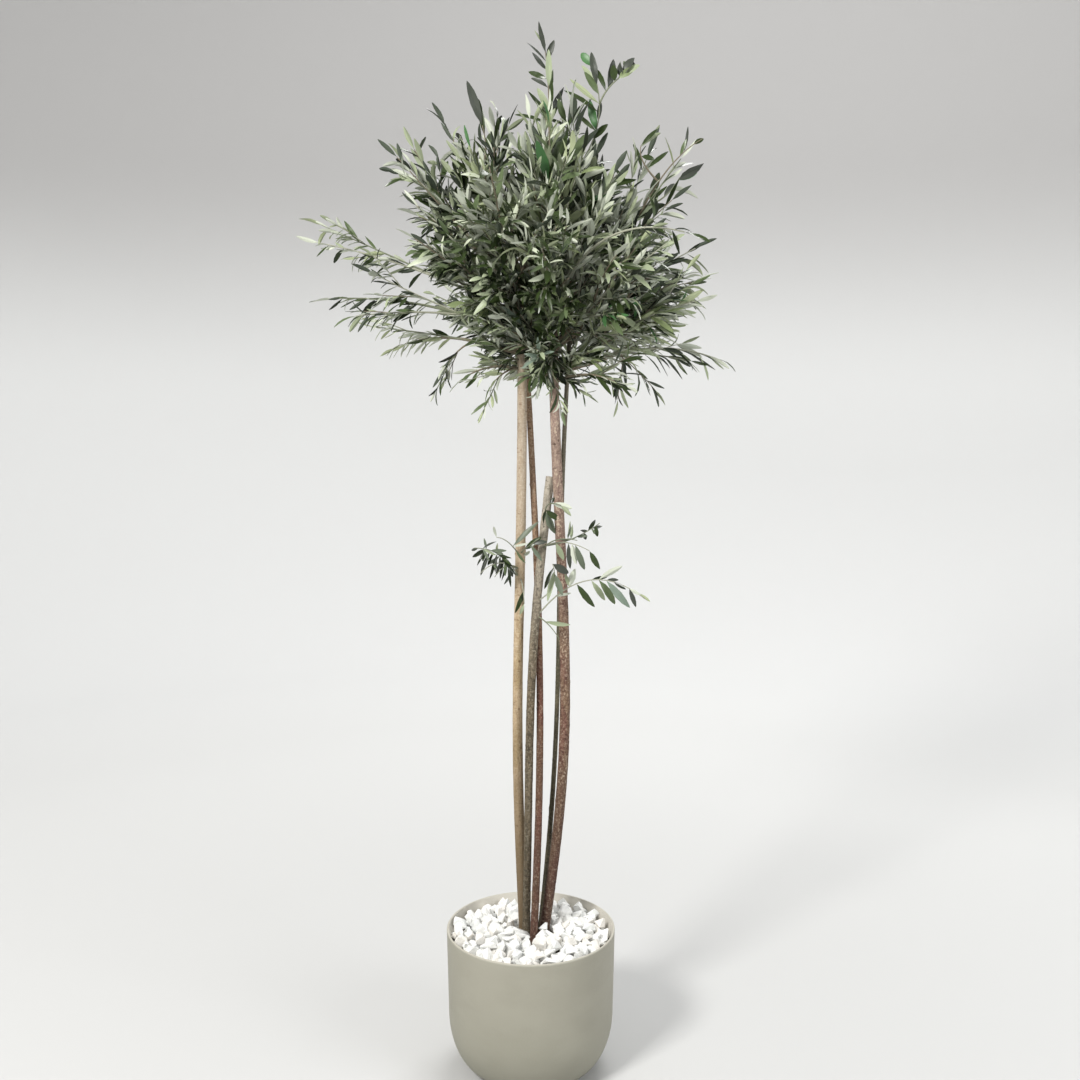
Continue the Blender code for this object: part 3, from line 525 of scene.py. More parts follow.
def lay_chips(rng):
    """Centres on four seed-head spirals, each shifted a little and kept off the wall."""
    centres, sizes = [], []
    for height, count, scale in CHIP_LAYERS:
        index = np.arange(count)
        share = np.sqrt((index + 0.5) / count)
        turn = GOLDEN_ANGLE * index + rng.uniform(0, 6)
        size = CHIP_HALF * scale * rng.uniform(*CHIP_SIZES, count)
        out = share * (CHIP_FIELD - CHIP_HALF * scale * 0.7) + rng.uniform(-CHIP_SHIFT, CHIP_SHIFT, count)
        out = np.minimum(out, CHIP_FIELD - size * 0.95)
        up = height + CHIP_MOUND * (1 - share ** 2) + rng.uniform(-CHIP_DROP, CHIP_DROP, count)
        centres.append(np.stack([out * np.cos(turn), out * np.sin(turn), up], -1))
        sizes.append(size)
    return np.concatenate(centres), np.concatenate(sizes)


chip_rng = np.random.default_rng(11)
chip_centres, chip_sizes = lay_chips(chip_rng)
feet = np.array([(*line[0, :2], radii[0]) for line, radii in stems.values()])
gap = np.hypot(chip_centres[:, None, 0] - feet[:, 0], chip_centres[:, None, 1] - feet[:, 1])
clear = (gap > feet[:, 2] + chip_sizes[:, None] * 0.45).all(axis=1)
chip_centres, chip_sizes = chip_centres[clear], chip_sizes[clear]
chip_points, chip_faces = cut_chips(chip_centres, chip_sizes, chip_rng)


def marble(name, light, dark):
    """White stone with soft grey clouds, a few thin veins and a sugary grain."""
    stone = Finish(name, light, 0.62, Specular_IOR_Level=0.4)
    clouds = stone.noise(48.0, detail=4.0)
    veins = stone.noise(95.0, detail=5.0, stretch=(1.0, 2.2, 0.8))
    off = veins - 0.5
    line = 1 - off.math("ABSOLUTE", off).between(0.004, 0.03)
    mottled = stone.blend(clouds.between(0.40, 0.72), light, dark)
    stone.set("Base Color", stone.blend(line * 0.30, mottled, [c * 0.62 for c in light]))
    sugar = stone.noise(900.0, detail=2.0)
    stone.set("Roughness", 0.52 + sugar * 0.25)
    stone.relief(sugar + clouds * 0.6, 0.0006)
    return stone


stones = [
    marble("marble_white", (0.84, 0.840, 0.815), (0.76, 0.765, 0.745)),
    marble("marble_warm", (0.82, 0.795, 0.745), (0.73, 0.71, 0.67)),
    marble("marble_grey", (0.77, 0.780, 0.765), (0.68, 0.690, 0.675)),
]
kind = chip_rng.choice(3, len(chip_centres), p=(0.70, 0.17, 0.13))
chips = new_piece(
    "marble_chips", chip_points, [chip_faces], stones,
    indices=np.repeat(kind, len(chip_faces) // len(chip_centres)), crease=12,
)
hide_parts("stone_chips")
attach(chips, "root")
print("chips:", len(chip_centres), "of", len(chips.data.polygons) // len(chip_centres), "faces")

# %% [markdown]
# ## Bark
#
# The stems are smooth young wood, so the bark shows as low relief: shallow flutes, faint rings, small
# raised pores that lie crosswise, and a few scars where twigs were cut off. The stem's surface is a
# grid of height and angle, and each kind of mark is a sum of simple bumps added to the radius. The
# ends are closed by a slightly hollow disc, as a saw leaves them.

# %% Shape the bark
RINGS_PER_METRE = 26
PORES_PER_METRE = 190
SCARS_PER_METRE = 3


def waves(turn, run, rng, count, most_round, fastest):
    """Sum of cosines with whole numbers of turns round the stem and random rates along it."""
    total = np.zeros(np.broadcast_shapes(turn.shape, run.shape))
    for _ in range(count):
        around = rng.integers(0, most_round + 1)
        along = rng.uniform(-fastest, fastest)
        total += np.cos(around * turn + along * run + rng.uniform(0, 6.28))
    return total / math.sqrt(count)


def marks(turn, run, places, rng, wide, tall, low, high, roughness):
    """Sum of small bumps at random angles: height exp(-(angle / wide)^2 - (distance along / tall)^2),
    with heights from low to high, or all of them low where high is None."""
    total = np.zeros(np.broadcast_shapes(turn.shape, run.shape))
    angles = rng.uniform(-3.1, 3.1, len(places))
    heights = np.full(len(places), low) if high is None else rng.uniform(low, high, len(places))
    for place, angle, height in zip(places, angles, heights * roughness):
        rows = np.abs(run[:, 0] - place) < tall * 3
        away = (turn - angle + np.pi) % (2 * np.pi) - np.pi
        total[rows] += height * np.exp(-(away / wide) ** 2 - ((run[rows] - place) / tall) ** 2)
    return total


def bark_relief(turn, run, radius, rng, roughness):
    """How far the bark stands out, in metres, at each angle and each distance along."""
    length = run.max()
    relief = waves(turn, run, rng, 8, 5, 14.0) * radius * 0.030
    relief += waves(turn, run, rng, 10, 9, 160.0) * radius * 0.014 * roughness
    rings = rng.uniform(0, length, int(length * RINGS_PER_METRE))
    relief += marks(turn, run, rings, rng, 1.1, 0.0011, 0.00022, None, roughness)
    pores = rng.uniform(0, length, int(length * PORES_PER_METRE))
    relief += marks(turn, run, pores, rng, 0.24, 0.0016, 0.0002, 0.0005, roughness)
    scars = rng.uniform(0.12, length * 0.96, int(4 + length * SCARS_PER_METRE))
    relief += marks(turn, run, scars, rng, 0.42, 0.0055, 0.0008, 0.0020, 1.0)
    return relief


def unit(vectors):
    """Each vector brought to length one."""
    return vectors / np.maximum(np.linalg.norm(vectors, axis=-1, keepdims=True), 1e-12)


def frames(points):
    """Direction along each path and two unit vectors square to it. Paths lie in the next-to-last axis."""
    along = unit(np.gradient(points, axis=-2))
    mean = np.abs(along.mean(axis=-2))
    helper = np.eye(3)[np.argmin(mean, axis=-1)][..., None, :]
    side = unit(np.broadcast_to(helper, along.shape) - along * (along * helper).sum(-1, keepdims=True))
    return along, side, np.cross(along, side)


def tubes(points, radii, sides):
    """Closed tubes along many paths of equal count. radii has the paths' shape, or one more axis
    for the sides. Points: centre + r (side cos a + other sin a), then one pole for each end."""
    paths, rows = points.shape[:2]
    _, side, other = frames(points)
    turn = np.linspace(0, 2 * np.pi, sides, endpoint=False)
    outward = side[:, :, None] * np.cos(turn)[:, None] + other[:, :, None] * np.sin(turn)[:, None]
    if radii.ndim == 2:
        radii = radii[:, :, None]
    skin = points[:, :, None] + outward * radii[..., None]
    block = np.concatenate([skin.reshape(paths, -1, 3), points[:, :1], points[:, -1:]], axis=1)
    ring = np.arange(sides)
    after = (ring + 1) % sides
    last = (rows - 1) * sides
    start_fan = np.stack([np.full(sides, rows * sides), after, ring], -1)
    end_fan = np.stack([np.full(sides, rows * sides + 1), last + ring, last + after], -1)
    fans = np.concatenate([start_fan, end_fan])
    walls = grid_faces(rows, sides)
    shift = (np.arange(paths) * block.shape[1])[:, None, None]
    return block.reshape(-1, 3), (walls[None] + shift).reshape(-1, 4), (fans[None] + shift).reshape(-1, 3)


print("bark helpers are ready")

# %% [markdown]
# ## Five kinds of bark
#
# No two stems are alike. One is pale and ochre, one weathered and dark, one reddish and slim, the thickest
# is a rosy brown with pale specks, and the thinnest is grey. One rule mixes all of them: a base colour in
# long soft patches, a paler upper part, fine streaks along the grain, pale flecks and cross marks, small
# dark or rusty spots, and painted shade that makes the foot of each stem darker.

# %% Mix the bark colours
FOOT_SHADE_RUN = (0.32, 0.90)     # heights over which the painted shade at the foot fades
BARK_PALES = (0.75, 1.35)     # and over which the upper part's colour comes in
BARKS = {
    # base, patch, streak, pale mark, spot, upper part, foot shade, how rough, how speckled
    "stem_pale": (
        (0.470, 0.355, 0.225), (0.37, 0.275, 0.150), (0.30, 0.215, 0.125), (0.60, 0.53, 0.42),
        (0.13, 0.070, 0.035), (0.36, 0.305, 0.245), 0.90, 0.7, 0.50),
    "stem_stub": (
        (0.138, 0.104, 0.064), (0.185, 0.145, 0.092), (0.058, 0.049, 0.033), (0.39, 0.355, 0.27),
        (0.032, 0.026, 0.018), (0.50, 0.460, 0.390), 0.45, 1.4, 0.85),
    "stem_slim": (
        (0.160, 0.086, 0.050), (0.160, 0.068, 0.046), (0.090, 0.056, 0.039), (0.47, 0.38, 0.29),
        (0.050, 0.022, 0.016), (0.33, 0.225, 0.145), 0.50, 1.0, 0.80),
    "stem_thick": (
        (0.176, 0.089, 0.064), (0.188, 0.118, 0.074), (0.095, 0.048, 0.036), (0.52, 0.43, 0.32),
        (0.050, 0.022, 0.016), (0.31, 0.230, 0.190), 0.60, 1.2, 1.05),
    "stem_thin": (
        (0.085, 0.078, 0.048), (0.135, 0.120, 0.075), (0.038, 0.033, 0.022), (0.27, 0.25, 0.17),
        (0.022, 0.018, 0.013), (0.17, 0.150, 0.115), 0.40, 0.9, 0.60),
}


def bark_finish(name, base, patch, streak, mark, spot, upper, foot, rough, speckle):
    """Bark in long patches, with streaks, flecks, cross marks, spots and painted shade at the foot."""
    bark = Finish(name + "_bark", base, 0.8, Specular_IOR_Level=0.3)
    patches = bark.noise(11.0, detail=3.0, stretch=(3.0, 3.0, 1.0)).between(0.42, 0.58)
    streaks = bark.noise(150.0, detail=4.0, stretch=(1.0, 1.0, 0.14), roughness=0.6).between(0.46, 0.62)
    grain = bark.noise(270.0, detail=3.0, stretch=(1.0, 1.0, 0.70), roughness=0.60)
    upward = bark.height().between(*BARK_PALES)
    crowded = bark.noise(16.0, detail=2.0, stretch=(2.0, 2.0, 1.0)).between(0.38, 0.62) * 0.6 + 0.4
    pale_flecks = grain.between(0.53, 0.62)
    dark_flecks = 1 - grain.between(0.38, 0.47)
    ticks = bark.noise(120.0, detail=3.0, stretch=(1.0, 1.0, 4.0), roughness=0.55).between(0.60, 0.67)
    dashes = bark.noise(105.0, detail=2.0, stretch=(0.7, 0.7, 3.2)).between(0.63, 0.69)
    spots = 1 - bark.specks(55.0, stretch=(1.0, 1.0, 0.8)).between(0.08, 0.16)
    colour = bark.blend(patches, base, patch)
    colour = bark.blend(upward * 0.8, colour, upper)
    colour = bark.blend(streaks * (1 - upward * 0.5) * 0.55, colour, streak)
    colour = bark.blend(dark_flecks * (1 - upward * 0.6) * (0.60 * speckle), colour, spot)
    colour = bark.blend(pale_flecks * crowded * (0.62 * speckle), colour, mark)
    colour = bark.blend(ticks * 0.40, colour, mark)
    colour = bark.blend(dashes * 0.60, colour, spot)
    colour = bark.blend(spots * 0.60, colour, spot)
    # painted shade: the colour darkens towards the stem's foot and fades out with height
    low = 1 - bark.height().between(*FOOT_SHADE_RUN)
    bark.set("Base Color", bark.blend(low * foot, colour, [c * 0.46 for c in streak]))
    bark.set("Roughness", 0.88 - pale_flecks * 0.10 - patches * 0.08)
    bark.relief(streaks * 0.5 + ticks * 0.4 + grain * 0.8 - spots * 0.4, 0.0010 * rough)
    return bark


sawn = Finish("sawn_wood", (0.50, 0.31, 0.16), 0.75)
rings = sawn.noise(420.0, detail=3.0)
sawn.set("Base Color", sawn.blend(rings.between(0.35, 0.65), (0.58, 0.38, 0.21), (0.36, 0.20, 0.10)))
sawn.relief(rings, 0.0006)
bark_finishes = {name: bark_finish(name, *values) for name, values in BARKS.items()}
print("kinds of bark:", len(bark_finishes))

# %% Set the bark on the stems
STEM_SEED = 50
SAW_HOLLOW = 0.0012           # how far the sawn end's middle lies below its edge
for number, name in enumerate(STEMS):
    line, radii = stem_line(name, STEM_ROWS)
    run = np.linalg.norm(np.diff(line, axis=0), axis=1).cumsum()
    run = np.concatenate([[0.0], run])[:, None]
    turn = np.linspace(0, 2 * np.pi, STEM_SIDES, endpoint=False)[None, :]
    rng = np.random.default_rng(STEM_SEED + number)
    relief = bark_relief(turn, run, radii[:, None], rng, BARKS[name][7])
    points, walls, fans = tubes(line[None], (radii[:, None] + relief)[None], STEM_SIDES)
    points[-1, 2] -= SAW_HOLLOW
    indices = np.repeat([0, 1], [len(walls) + STEM_SIDES, STEM_SIDES])
    finishes = [bark_finishes[name], sawn]
    piece = new_piece("bark_" + name[5:], points, [walls, fans], finishes, indices=indices, crease=40)
    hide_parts(name)
    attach(piece, "root")
    print(piece.name, "faces", len(piece.data.polygons))

# %% [markdown]
# ## How the crown is planned
#
# The crown has 24 masses of foliage. Each starts from a stem, most of them first as a short bough, then
# as one leading spray whose tip lies at a bearing, a rise and a reach from the middle of the crown. The
# rule and its numbers are those of the plain solids, so the finer growth comes out in the same places.

# %% Plan boughs and leading sprays
CROWN_CENTRE = np.array([0.029, 0.0, 1.557])
BOUGH_LENGTH = 0.080
BOUGH_SHARE = 0.30
BOUGH_STEEPEST = 42
LEAD_CUT = 0.045              # left at a spray's tip for its last leaf
DOWN = np.array([0.0, 0.0, -1.0])
STEM_TOP = 4                  # where STEMS holds the height of the head
BOUGH_POINTS, SPRAY_POINTS, SIDE_POINTS, FINE_POINTS = 12, 16, 7, 5

# name: stem, height of the root, bearing, rise, reach, arch
CROWN = {
    "top": ("stem_thick", 1.600, 116, 88, 0.548, 0),
    "top_right": ("stem_thick", 1.555, -12, 75, 0.498, -6),
    "top_left": ("stem_pale", 1.610, 174, 68, 0.462, -4),
    "top_front": ("stem_thick", 1.580, -88, 68, 0.400, 0),
    "top_back": ("stem_slim", 1.555, 78, 66, 0.420, 0),
    "upper_right": ("stem_thick", 1.525, 6, 49, 0.448, 2),
    "upper_left": ("stem_pale", 1.585, 182, 47, 0.440, 4),
    "right": ("stem_thick", 1.490, 10, 24, 0.378, 10),
    "right_low": ("stem_thick", 1.445, -14, 5, 0.342, 16),
    "right_drooping": ("stem_thin", 1.455, 2, -15, 0.402, 22),
    "left": ("stem_pale", 1.555, 176, 17, 0.513, 8),
    "left_level": ("stem_pale", 1.520, 188, 3, 0.456, 12),
    "left_drooping": ("stem_pale", 1.485, 170, -12, 0.338, 18),
    "front_high": ("stem_pale", 1.570, -112, 44, 0.390, 2),
    "front_left": ("stem_pale", 1.535, -140, 22, 0.370, 8),
    "front_middle": ("stem_thick", 1.540, -92, 16, 0.360, 8),
    "front_right": ("stem_thick", 1.500, -46, 20, 0.370, 8),
    "back_high": ("stem_slim", 1.530, 112, 38, 0.410, 2),
    "back_right": ("stem_thin", 1.505, 56, 20, 0.400, 8),
    "back_left": ("stem_slim", 1.480, 132, 10, 0.400, 8),
    "low_front": ("stem_thick", 1.470, -98, -40, 0.245, 26),
    "low_left": ("stem_pale", 1.450, 202, -36, 0.255, 26),
    "low_right": ("stem_thick", 1.425, -40, -35, 0.262, 28),
    "low_back": ("stem_slim", 1.425, 82, -20, 0.300, 20),
}
WITHOUT_BOUGH = ("front_left", "front_middle", "low_front", "low_left", "low_right", "low_back")


def bearing_vector(bearing, rise):
    """Unit vector for a bearing from +X towards +Y and a rise above level, in degrees."""
    turn, lift = math.radians(bearing), math.radians(rise)
    return np.array([math.cos(lift) * math.cos(turn), math.cos(lift) * math.sin(turn), math.sin(lift)])


def bent(start, elbow, end, count, share=1.0):
    """Quadratic curve: start (1-t)^2 + elbow 2 t (1-t) + end t^2, for t from 0 to share."""
    t = np.linspace(0.0, share, count)[:, None]
    return start * (1 - t) ** 2 + elbow * 2 * t * (1 - t) + end * t ** 2


def pick(at, places, rows):
    """Rows of values at new places, by straight interpolation between the places they belong to."""
    return np.stack([np.interp(at, places, column) for column in rows.T], -1)


def on_stem(name, height):
    """Centre of a stem at a height."""
    line = stems[name][0]
    return pick(height, line[:, 2], line)


def spray_path(start, heading, tip):
    """A spray that sets out along a heading, bends to its tip and stops short of it by one leaf."""
    run = np.linalg.norm(tip - start)
    return bent(start, start + heading * run * 0.5, tip, SPRAY_POINTS, 1 - LEAD_CUT / run)


def plan_mass(name):
    """The bough's path, if there is one, and the leading spray's path and tip of one crown mass."""
    stem, height, bearing, rise, reach, arch = CROWN[name]
    tip = CROWN_CENTRE + bearing_vector(bearing, rise) * reach
    root = on_stem(stem, height)
    lift = -DOWN * math.tan(math.radians(arch))
    half = min(BOUGH_LENGTH, BOUGH_SHARE * np.linalg.norm(tip - root)) * 0.5
    outward = bearing_vector(bearing, min(rise + arch, BOUGH_STEEPEST))
    if height >= STEMS[stem][STEM_TOP]:
        outward = unit(stems[stem][0][-1] - stems[stem][0][-2])
    if name in WITHOUT_BOUGH:
        return None, spray_path(root, unit(outward + lift), tip), tip
    elbow = root + outward * half
    heading = unit(unit(tip - elbow) + lift)
    joint = elbow + heading * half
    return bent(root, elbow, joint, BOUGH_POINTS), spray_path(joint, heading, tip), tip


plans = {name: plan_mass(name) for name in CROWN}
print("leading sprays:", len(plans), "with boughs:", sum(plan[0] is not None for plan in plans.values()))

# %% [markdown]
# ## Boughs
#
# A bough swells where it leaves its stem and thins towards the spray that it carries. All of them are
# one piece of tubes with the same low relief as the stems.

# %% Grow the boughs
BOUGH_ROOT, BOUGH_TIP = 0.0050, 0.0036
BOUGH_SWELL, SWELL_AT, SWELL_LONG = 0.0022, 0.12, 0.10        # how much, and where along the bough
BOUGH_SIDES = 12
bough_names = [name for name in CROWN if plans[name][0] is not None]
bough_lines = np.stack([plans[name][0] for name in bough_names])
share = np.linspace(0, 1, bough_lines.shape[1])
swell = BOUGH_SWELL * np.exp(-((share - SWELL_AT) / SWELL_LONG) ** 2)
bough_radii = BOUGH_ROOT + (BOUGH_TIP - BOUGH_ROOT) * share + swell
turn = np.linspace(0, 2 * np.pi, BOUGH_SIDES, endpoint=False)
bough_rng = np.random.default_rng(7)
run = share[:, None] * BOUGH_LENGTH
ripple = np.stack([waves(turn[None, :], run, bough_rng, 8, 4, 220.0) for _ in bough_names])
bough_skin = bough_radii[None, :, None] * (1 + 0.05 * ripple)
points, walls, fans = tubes(bough_lines, bough_skin, BOUGH_SIDES)
bough_bark = bark_finish(
    "bough", (0.20, 0.165, 0.115), (0.27, 0.215, 0.15), (0.10, 0.08, 0.05), (0.42, 0.37, 0.29),
    (0.06, 0.04, 0.025), (0.20, 0.165, 0.115), 0.0, 0.8, 0.6,
)
boughs = new_piece("boughs", points, [walls, fans], [bough_bark])
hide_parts(*["bough_" + name for name in bough_names])
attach(boughs, "root")
print("boughs:", len(bough_names))

# %% [markdown]
# ## Growing twigs
#
# Side twigs follow one rule at every size: they leave their parent at a spread angle, each turned by
# the golden angle from the last, they are longest near the parent's root, and they bend back towards
# the parent's direction and down under their leaves. Twigs carry finer twigs by the same rule. A twig
# that would leave the crown's reach or hang below its underside is left out.

# %% How far the crown reaches
REACH_SOFT = 0.035            # how softly one mass's reach runs into the next
BODY_AXIS = 0.030
BODY_DEPTH_SHARE = 0.92
# the dense body: height, and reach to the left and right of its axis
BODY = np.array([
    (1.375, 0.04, 0.03), (1.427, 0.09, 0.06), (1.462, 0.13, 0.12), (1.497, 0.17, 0.24), (1.532, 0.19, 0.26),
    (1.567, 0.24, 0.28), (1.601, 0.23, 0.24), (1.636, 0.26, 0.28), (1.670, 0.28, 0.27), (1.705, 0.28, 0.26),
    (1.739, 0.25, 0.23), (1.773, 0.24, 0.18), (1.807, 0.22, 0.17), (1.840, 0.24, 0.18), (1.874, 0.15, 0.14),
    (1.920, 0.09, 0.09), (1.970, 0.02, 0.02),
])


def crown_reach(directions):
    """Furthest a leaf may be in each direction: the masses' reaches, each weighted by its nearness."""
    heads = np.stack([bearing_vector(row[2], row[3]) for row in CROWN.values()])
    reaches = np.array([row[4] for row in CROWN.values()])
    weight = np.exp((directions @ heads.T - 1) / REACH_SOFT)
    return (weight * reaches).sum(-1) / np.maximum(weight.sum(-1), 1e-9)


def inside_body(points):
    """Whether points lie in the crown's dense body. Its reach at a height is the left or right one,
    and towards front and back a share of their mean: deep + (side - deep) cos^2 of the bearing."""
    x, y, z = points[..., 0] - BODY_AXIS, points[..., 1], points[..., 2]
    left, right = (np.interp(z, BODY[:, 0], BODY[:, side], left=0.0, right=0.0) for side in (1, 2))
    out = np.hypot(x, y) + 1e-9
    side = np.where(x > 0, right, left)
    deep = (left + right) / 2 * BODY_DEPTH_SHARE
    return out < deep + (side - deep) * (x / out) ** 2


def inside_reach(points, spare):
    """Whether points lie within the crown's furthest reach and the spare."""
    away = points - CROWN_CENTRE
    return np.linalg.norm(away, axis=-1) < crown_reach(unit(away)) + spare


print("reach straight up:", round(float(crown_reach(np.array([[0.0, 0.0, 1.0]]))[0]), 3), "m")

# %% The rule for twigs
def framed(path, at, places):
    """Point, direction and two square vectors of a path, picked at new places along it."""
    return [pick(at, places, rows) for rows in (path, *(rows[0] for rows in frames(path[None])))]


def turned(side, other, roll):
    """Unit vectors square to a path, at angles round it: side cos roll + other sin roll."""
    return unit(side * np.cos(roll)[:, None] + other * np.sin(roll)[:, None])


def side_twigs(parent, count, first, last, longest, shortest, spread, hang, rng, points=SIDE_POINTS):
    """Paths of side twigs on a parent path, by the golden angle, with lengths that fall off.
    Each sets out along start and ends along finish: root + length (start (t - t^2/2) + finish t^2/2)."""
    share = first + (last - first) * (np.arange(count) + 0.5) / count
    root, along, side, other = framed(parent, share * (len(parent) - 1), np.arange(len(parent)))
    heading = unit(along)
    roll = rng.uniform(0, 6.28) + GOLDEN_ANGLE * np.arange(count) + rng.normal(0, 0.25, count)
    outward = turned(side, other, roll)
    angle = np.radians(spread) * rng.uniform(0.75, 1.25, count)
    start = heading * np.cos(angle)[:, None] + outward * np.sin(angle)[:, None]
    length = (longest + (shortest - longest) * share) * rng.uniform(0.8, 1.15, count)
    finish = unit(start + heading * 0.35 + DOWN * hang * rng.uniform(0.6, 1.4, (count, 1)))
    t = np.linspace(0, 1, points)[None, :, None]
    reach = length[:, None, None]
    return root[:, None] + reach * (start[:, None] * (t - t * t / 2) + finish[:, None] * t * t / 2)


print("each twig turns", round(math.degrees(GOLDEN_ANGLE), 1), "degrees from the last")

# %% [markdown]
# ## Growing leaves
#
# Olive leaves stand in opposite pairs, and each pair is square to the last. For every twig the rule
# gives the place, heading and upper side of each leaf as rows of arrays. Leaves near a twig's tip are
# smaller, and one leaf runs on from the tip. Upper sides turn partly towards the sky. Far out and low
# in the crown the leaves hang.

# %% The rule for leaves
LEAF_LENGTH = 0.055
LEAF_WIDTH_SHARE = 0.20
PAIR_SPACING = 0.0207
LEAF_ANGLE = 28.0
DROOP_OUT = ((0.08, 0.26), (0.06, 0.42))     # distance from the axis, and how far leaves hang there
DROOP_UP = ((1.70, 1.88), (1.0, 0.15))       # height, and the share of that which is left
LAST_PAIR = 0.97                      # share of a twig's length where its pairs end
PLACE_LOOSE = 0.0012                  # how loosely leaves keep to their places, in metres,
TURN_LOOSE, LEAN_LOOSE = 0.22, 10     # their turns, in radians, and their angle, in degrees
SIZE_AT_ROOT, SIZE_LOST = 1.06, 0.30  # size at a twig's root, and how much of it is lost on the way
SIZE_LOOSE, SIZE_LIMITS = 0.20, (0.6, 1.5)
WIDTH_LIMITS = (0.78, 1.28)
SKY_PULL, SKY_LOOSE = 0.45, 0.58      # how strongly and how loosely upper sides turn to the sky
# the columns of a leaf's row
ROOT, HEADING, UPPER = slice(0, 3), slice(3, 6), slice(6, 9)
LENGTH, WIDTH, TINT, UNDER_TINT = 9, 10, 11, 12


def leaf_rows(root, heading, upper, *singles):
    """One row for each leaf: root, heading, upper side, then length, width, tint and underside's tint."""
    singles = [np.reshape(column, (-1, 1)) for column in singles]
    return np.concatenate([root, unit(heading), upper, *singles], axis=1)


def square_to(heading, wish):
    """The unit vector square to a heading that lies nearest to the one wished for."""
    return unit(wish - heading * (wish * heading).sum(-1, keepdims=True))


def leaves_on(path, first, family, rng, scale, broad, spacing=PAIR_SPACING, tip=None):
    """Pairs of leaves along a path from a share of it on, and one at its tip, of its own length."""
    run = np.concatenate([[0.0], np.linalg.norm(np.diff(path, axis=0), axis=1).cumsum()])
    pairs = max(1, int(round(run[-1] * (1 - first) / (spacing * scale))))
    at = run[-1] * (first + (LAST_PAIR - first) * (np.arange(pairs) + 0.5) / pairs)
    at = np.repeat(at, 2) + rng.normal(0, PLACE_LOOSE, pairs * 2)
    root, along, side, other = framed(path, at, run)
    forward = unit(along)
    roll = rng.uniform(0, 6.28) + np.repeat(np.arange(pairs), 2) * np.pi / 2 + np.tile([0, np.pi], pairs)
    roll = roll + rng.normal(0, TURN_LOOSE, pairs * 2)
    outward = turned(side, other, roll)
    lean = np.radians(LEAF_ANGLE + rng.normal(0, LEAN_LOOSE, pairs * 2))[:, None]
    droop = np.interp(np.hypot(root[:, 0] - CROWN_CENTRE[0], root[:, 1]), *DROOP_OUT)
    droop = (droop * np.interp(root[:, 2], *DROOP_UP))[:, None]
    heading = unit(forward * np.cos(lean) + outward * np.sin(lean) + DOWN * droop)
    size = LEAF_LENGTH * scale * (SIZE_AT_ROOT - SIZE_LOST * (at / run[-1]))
    size = size * rng.lognormal(0.0, SIZE_LOOSE, pairs * 2).clip(*SIZE_LIMITS)
    end_along, end_side, _ = (rows[0, -1:] for rows in frames(path[None]))
    root = np.concatenate([root, path[-1:]])
    heading = np.concatenate([heading, unit(end_along + rng.normal(0, 0.06, (1, 3)))])
    forward = np.concatenate([forward, end_side])
    size = np.concatenate([size, [tip or LEAF_LENGTH * scale * 0.85]])
    sky = unit(forward - DOWN * SKY_PULL + rng.normal(0, SKY_LOOSE, forward.shape))
    width = size * LEAF_WIDTH_SHARE * broad * rng.uniform(*WIDTH_LIMITS, len(size))
    tint, under = (rng.choice(tints, len(size), p=SHARES) for tints in family)
    return leaf_rows(root, heading, square_to(heading, sky), size, width, tint, under)


print("leaves are about", round(LEAF_LENGTH * 1000), "mm long")

# %% [markdown]
# ## Colours dealt out by spray
#
# Leaves of one spray share an age and a colour, so the colours are dealt out spray by spray: deep
# green, grey green, fresh green and sage above, and silvery or dusty tones below. They are plain
# colours, because the leaves are only a few pixels across and their shape already catches the light.

# %% Leaf colours
UPPER_TINTS = {
    "leaf_black_green": ((0.009, 0.015, 0.004), 0.29),
    "leaf_deep_green": ((0.031, 0.049, 0.014), 0.29),
    "leaf_grey_green": ((0.090, 0.123, 0.056), 0.31),
    "leaf_olive": ((0.172, 0.213, 0.097), 0.42),
    "leaf_sage": ((0.290, 0.335, 0.215), 0.42),
    "leaf_pale_sage": ((0.450, 0.488, 0.370), 0.48),
    "leaf_fresh_green": ((0.058, 0.148, 0.050), 0.40),
    "leaf_blue_sage": ((0.195, 0.250, 0.198), 0.42),
    "leaf_charcoal": ((0.046, 0.053, 0.041), 0.38),
    "leaf_dull_green": ((0.108, 0.132, 0.090), 0.40),
}
UNDER_TINTS = {
    "leaf_under_grey": ((0.268, 0.306, 0.196), 0.60),
    "leaf_under_silver": ((0.490, 0.520, 0.430), 0.56),
    "leaf_under_olive": ((0.335, 0.378, 0.228), 0.58),
    "leaf_under_dark": ((0.060, 0.075, 0.052), 0.62),
}
LEAF_SHINE = 0.32
LEAF_TINTS = {**UPPER_TINTS, **UNDER_TINTS}
leaf_finishes = [Finish(name, *row, Specular_IOR_Level=LEAF_SHINE) for name, row in LEAF_TINTS.items()]
print("leaf finishes:", len(leaf_finishes))

# %% Families of colours
SHARES = (0.45, 0.30, 0.25)      # of a family's first, second and third tint
# for each family of spray: upper tints, underside tints, and how common it is
FAMILIES = {
    "dark": (("black_green", "deep_green", "grey_green"), ("dark", "grey", "silver"), 0.25),
    "deep": (("deep_green", "black_green", "sage"), ("silver", "grey", "dark"), 0.24),
    "grey": (("grey_green", "deep_green", "pale_sage"), ("silver", "olive", "grey"), 0.23),
    "olive": (("olive", "grey_green", "black_green"), ("olive", "silver", "grey"), 0.12),
    "sage": (("sage", "pale_sage", "deep_green"), ("silver", "olive", "silver"), 0.26),
    "fresh": (("fresh_green", "olive", "grey_green"), ("olive", "silver", "grey"), 0.03),
    "blue": (("blue_sage", "sage", "deep_green"), ("silver", "silver", "grey"), 0.04),
}


# painted shade: the families' odds are multiplied by these to the left of, below and above the next three
# values, so darker sprays stand where the crown is in shade
SHADED_ODDS = np.array([1.6, 1.6, 0.8, 0.5, 0.15, 1.0, 0.4])
SHADED_LEFT, SHADED_BELOW, SHADED_ABOVE = -0.14, 1.48, 1.84


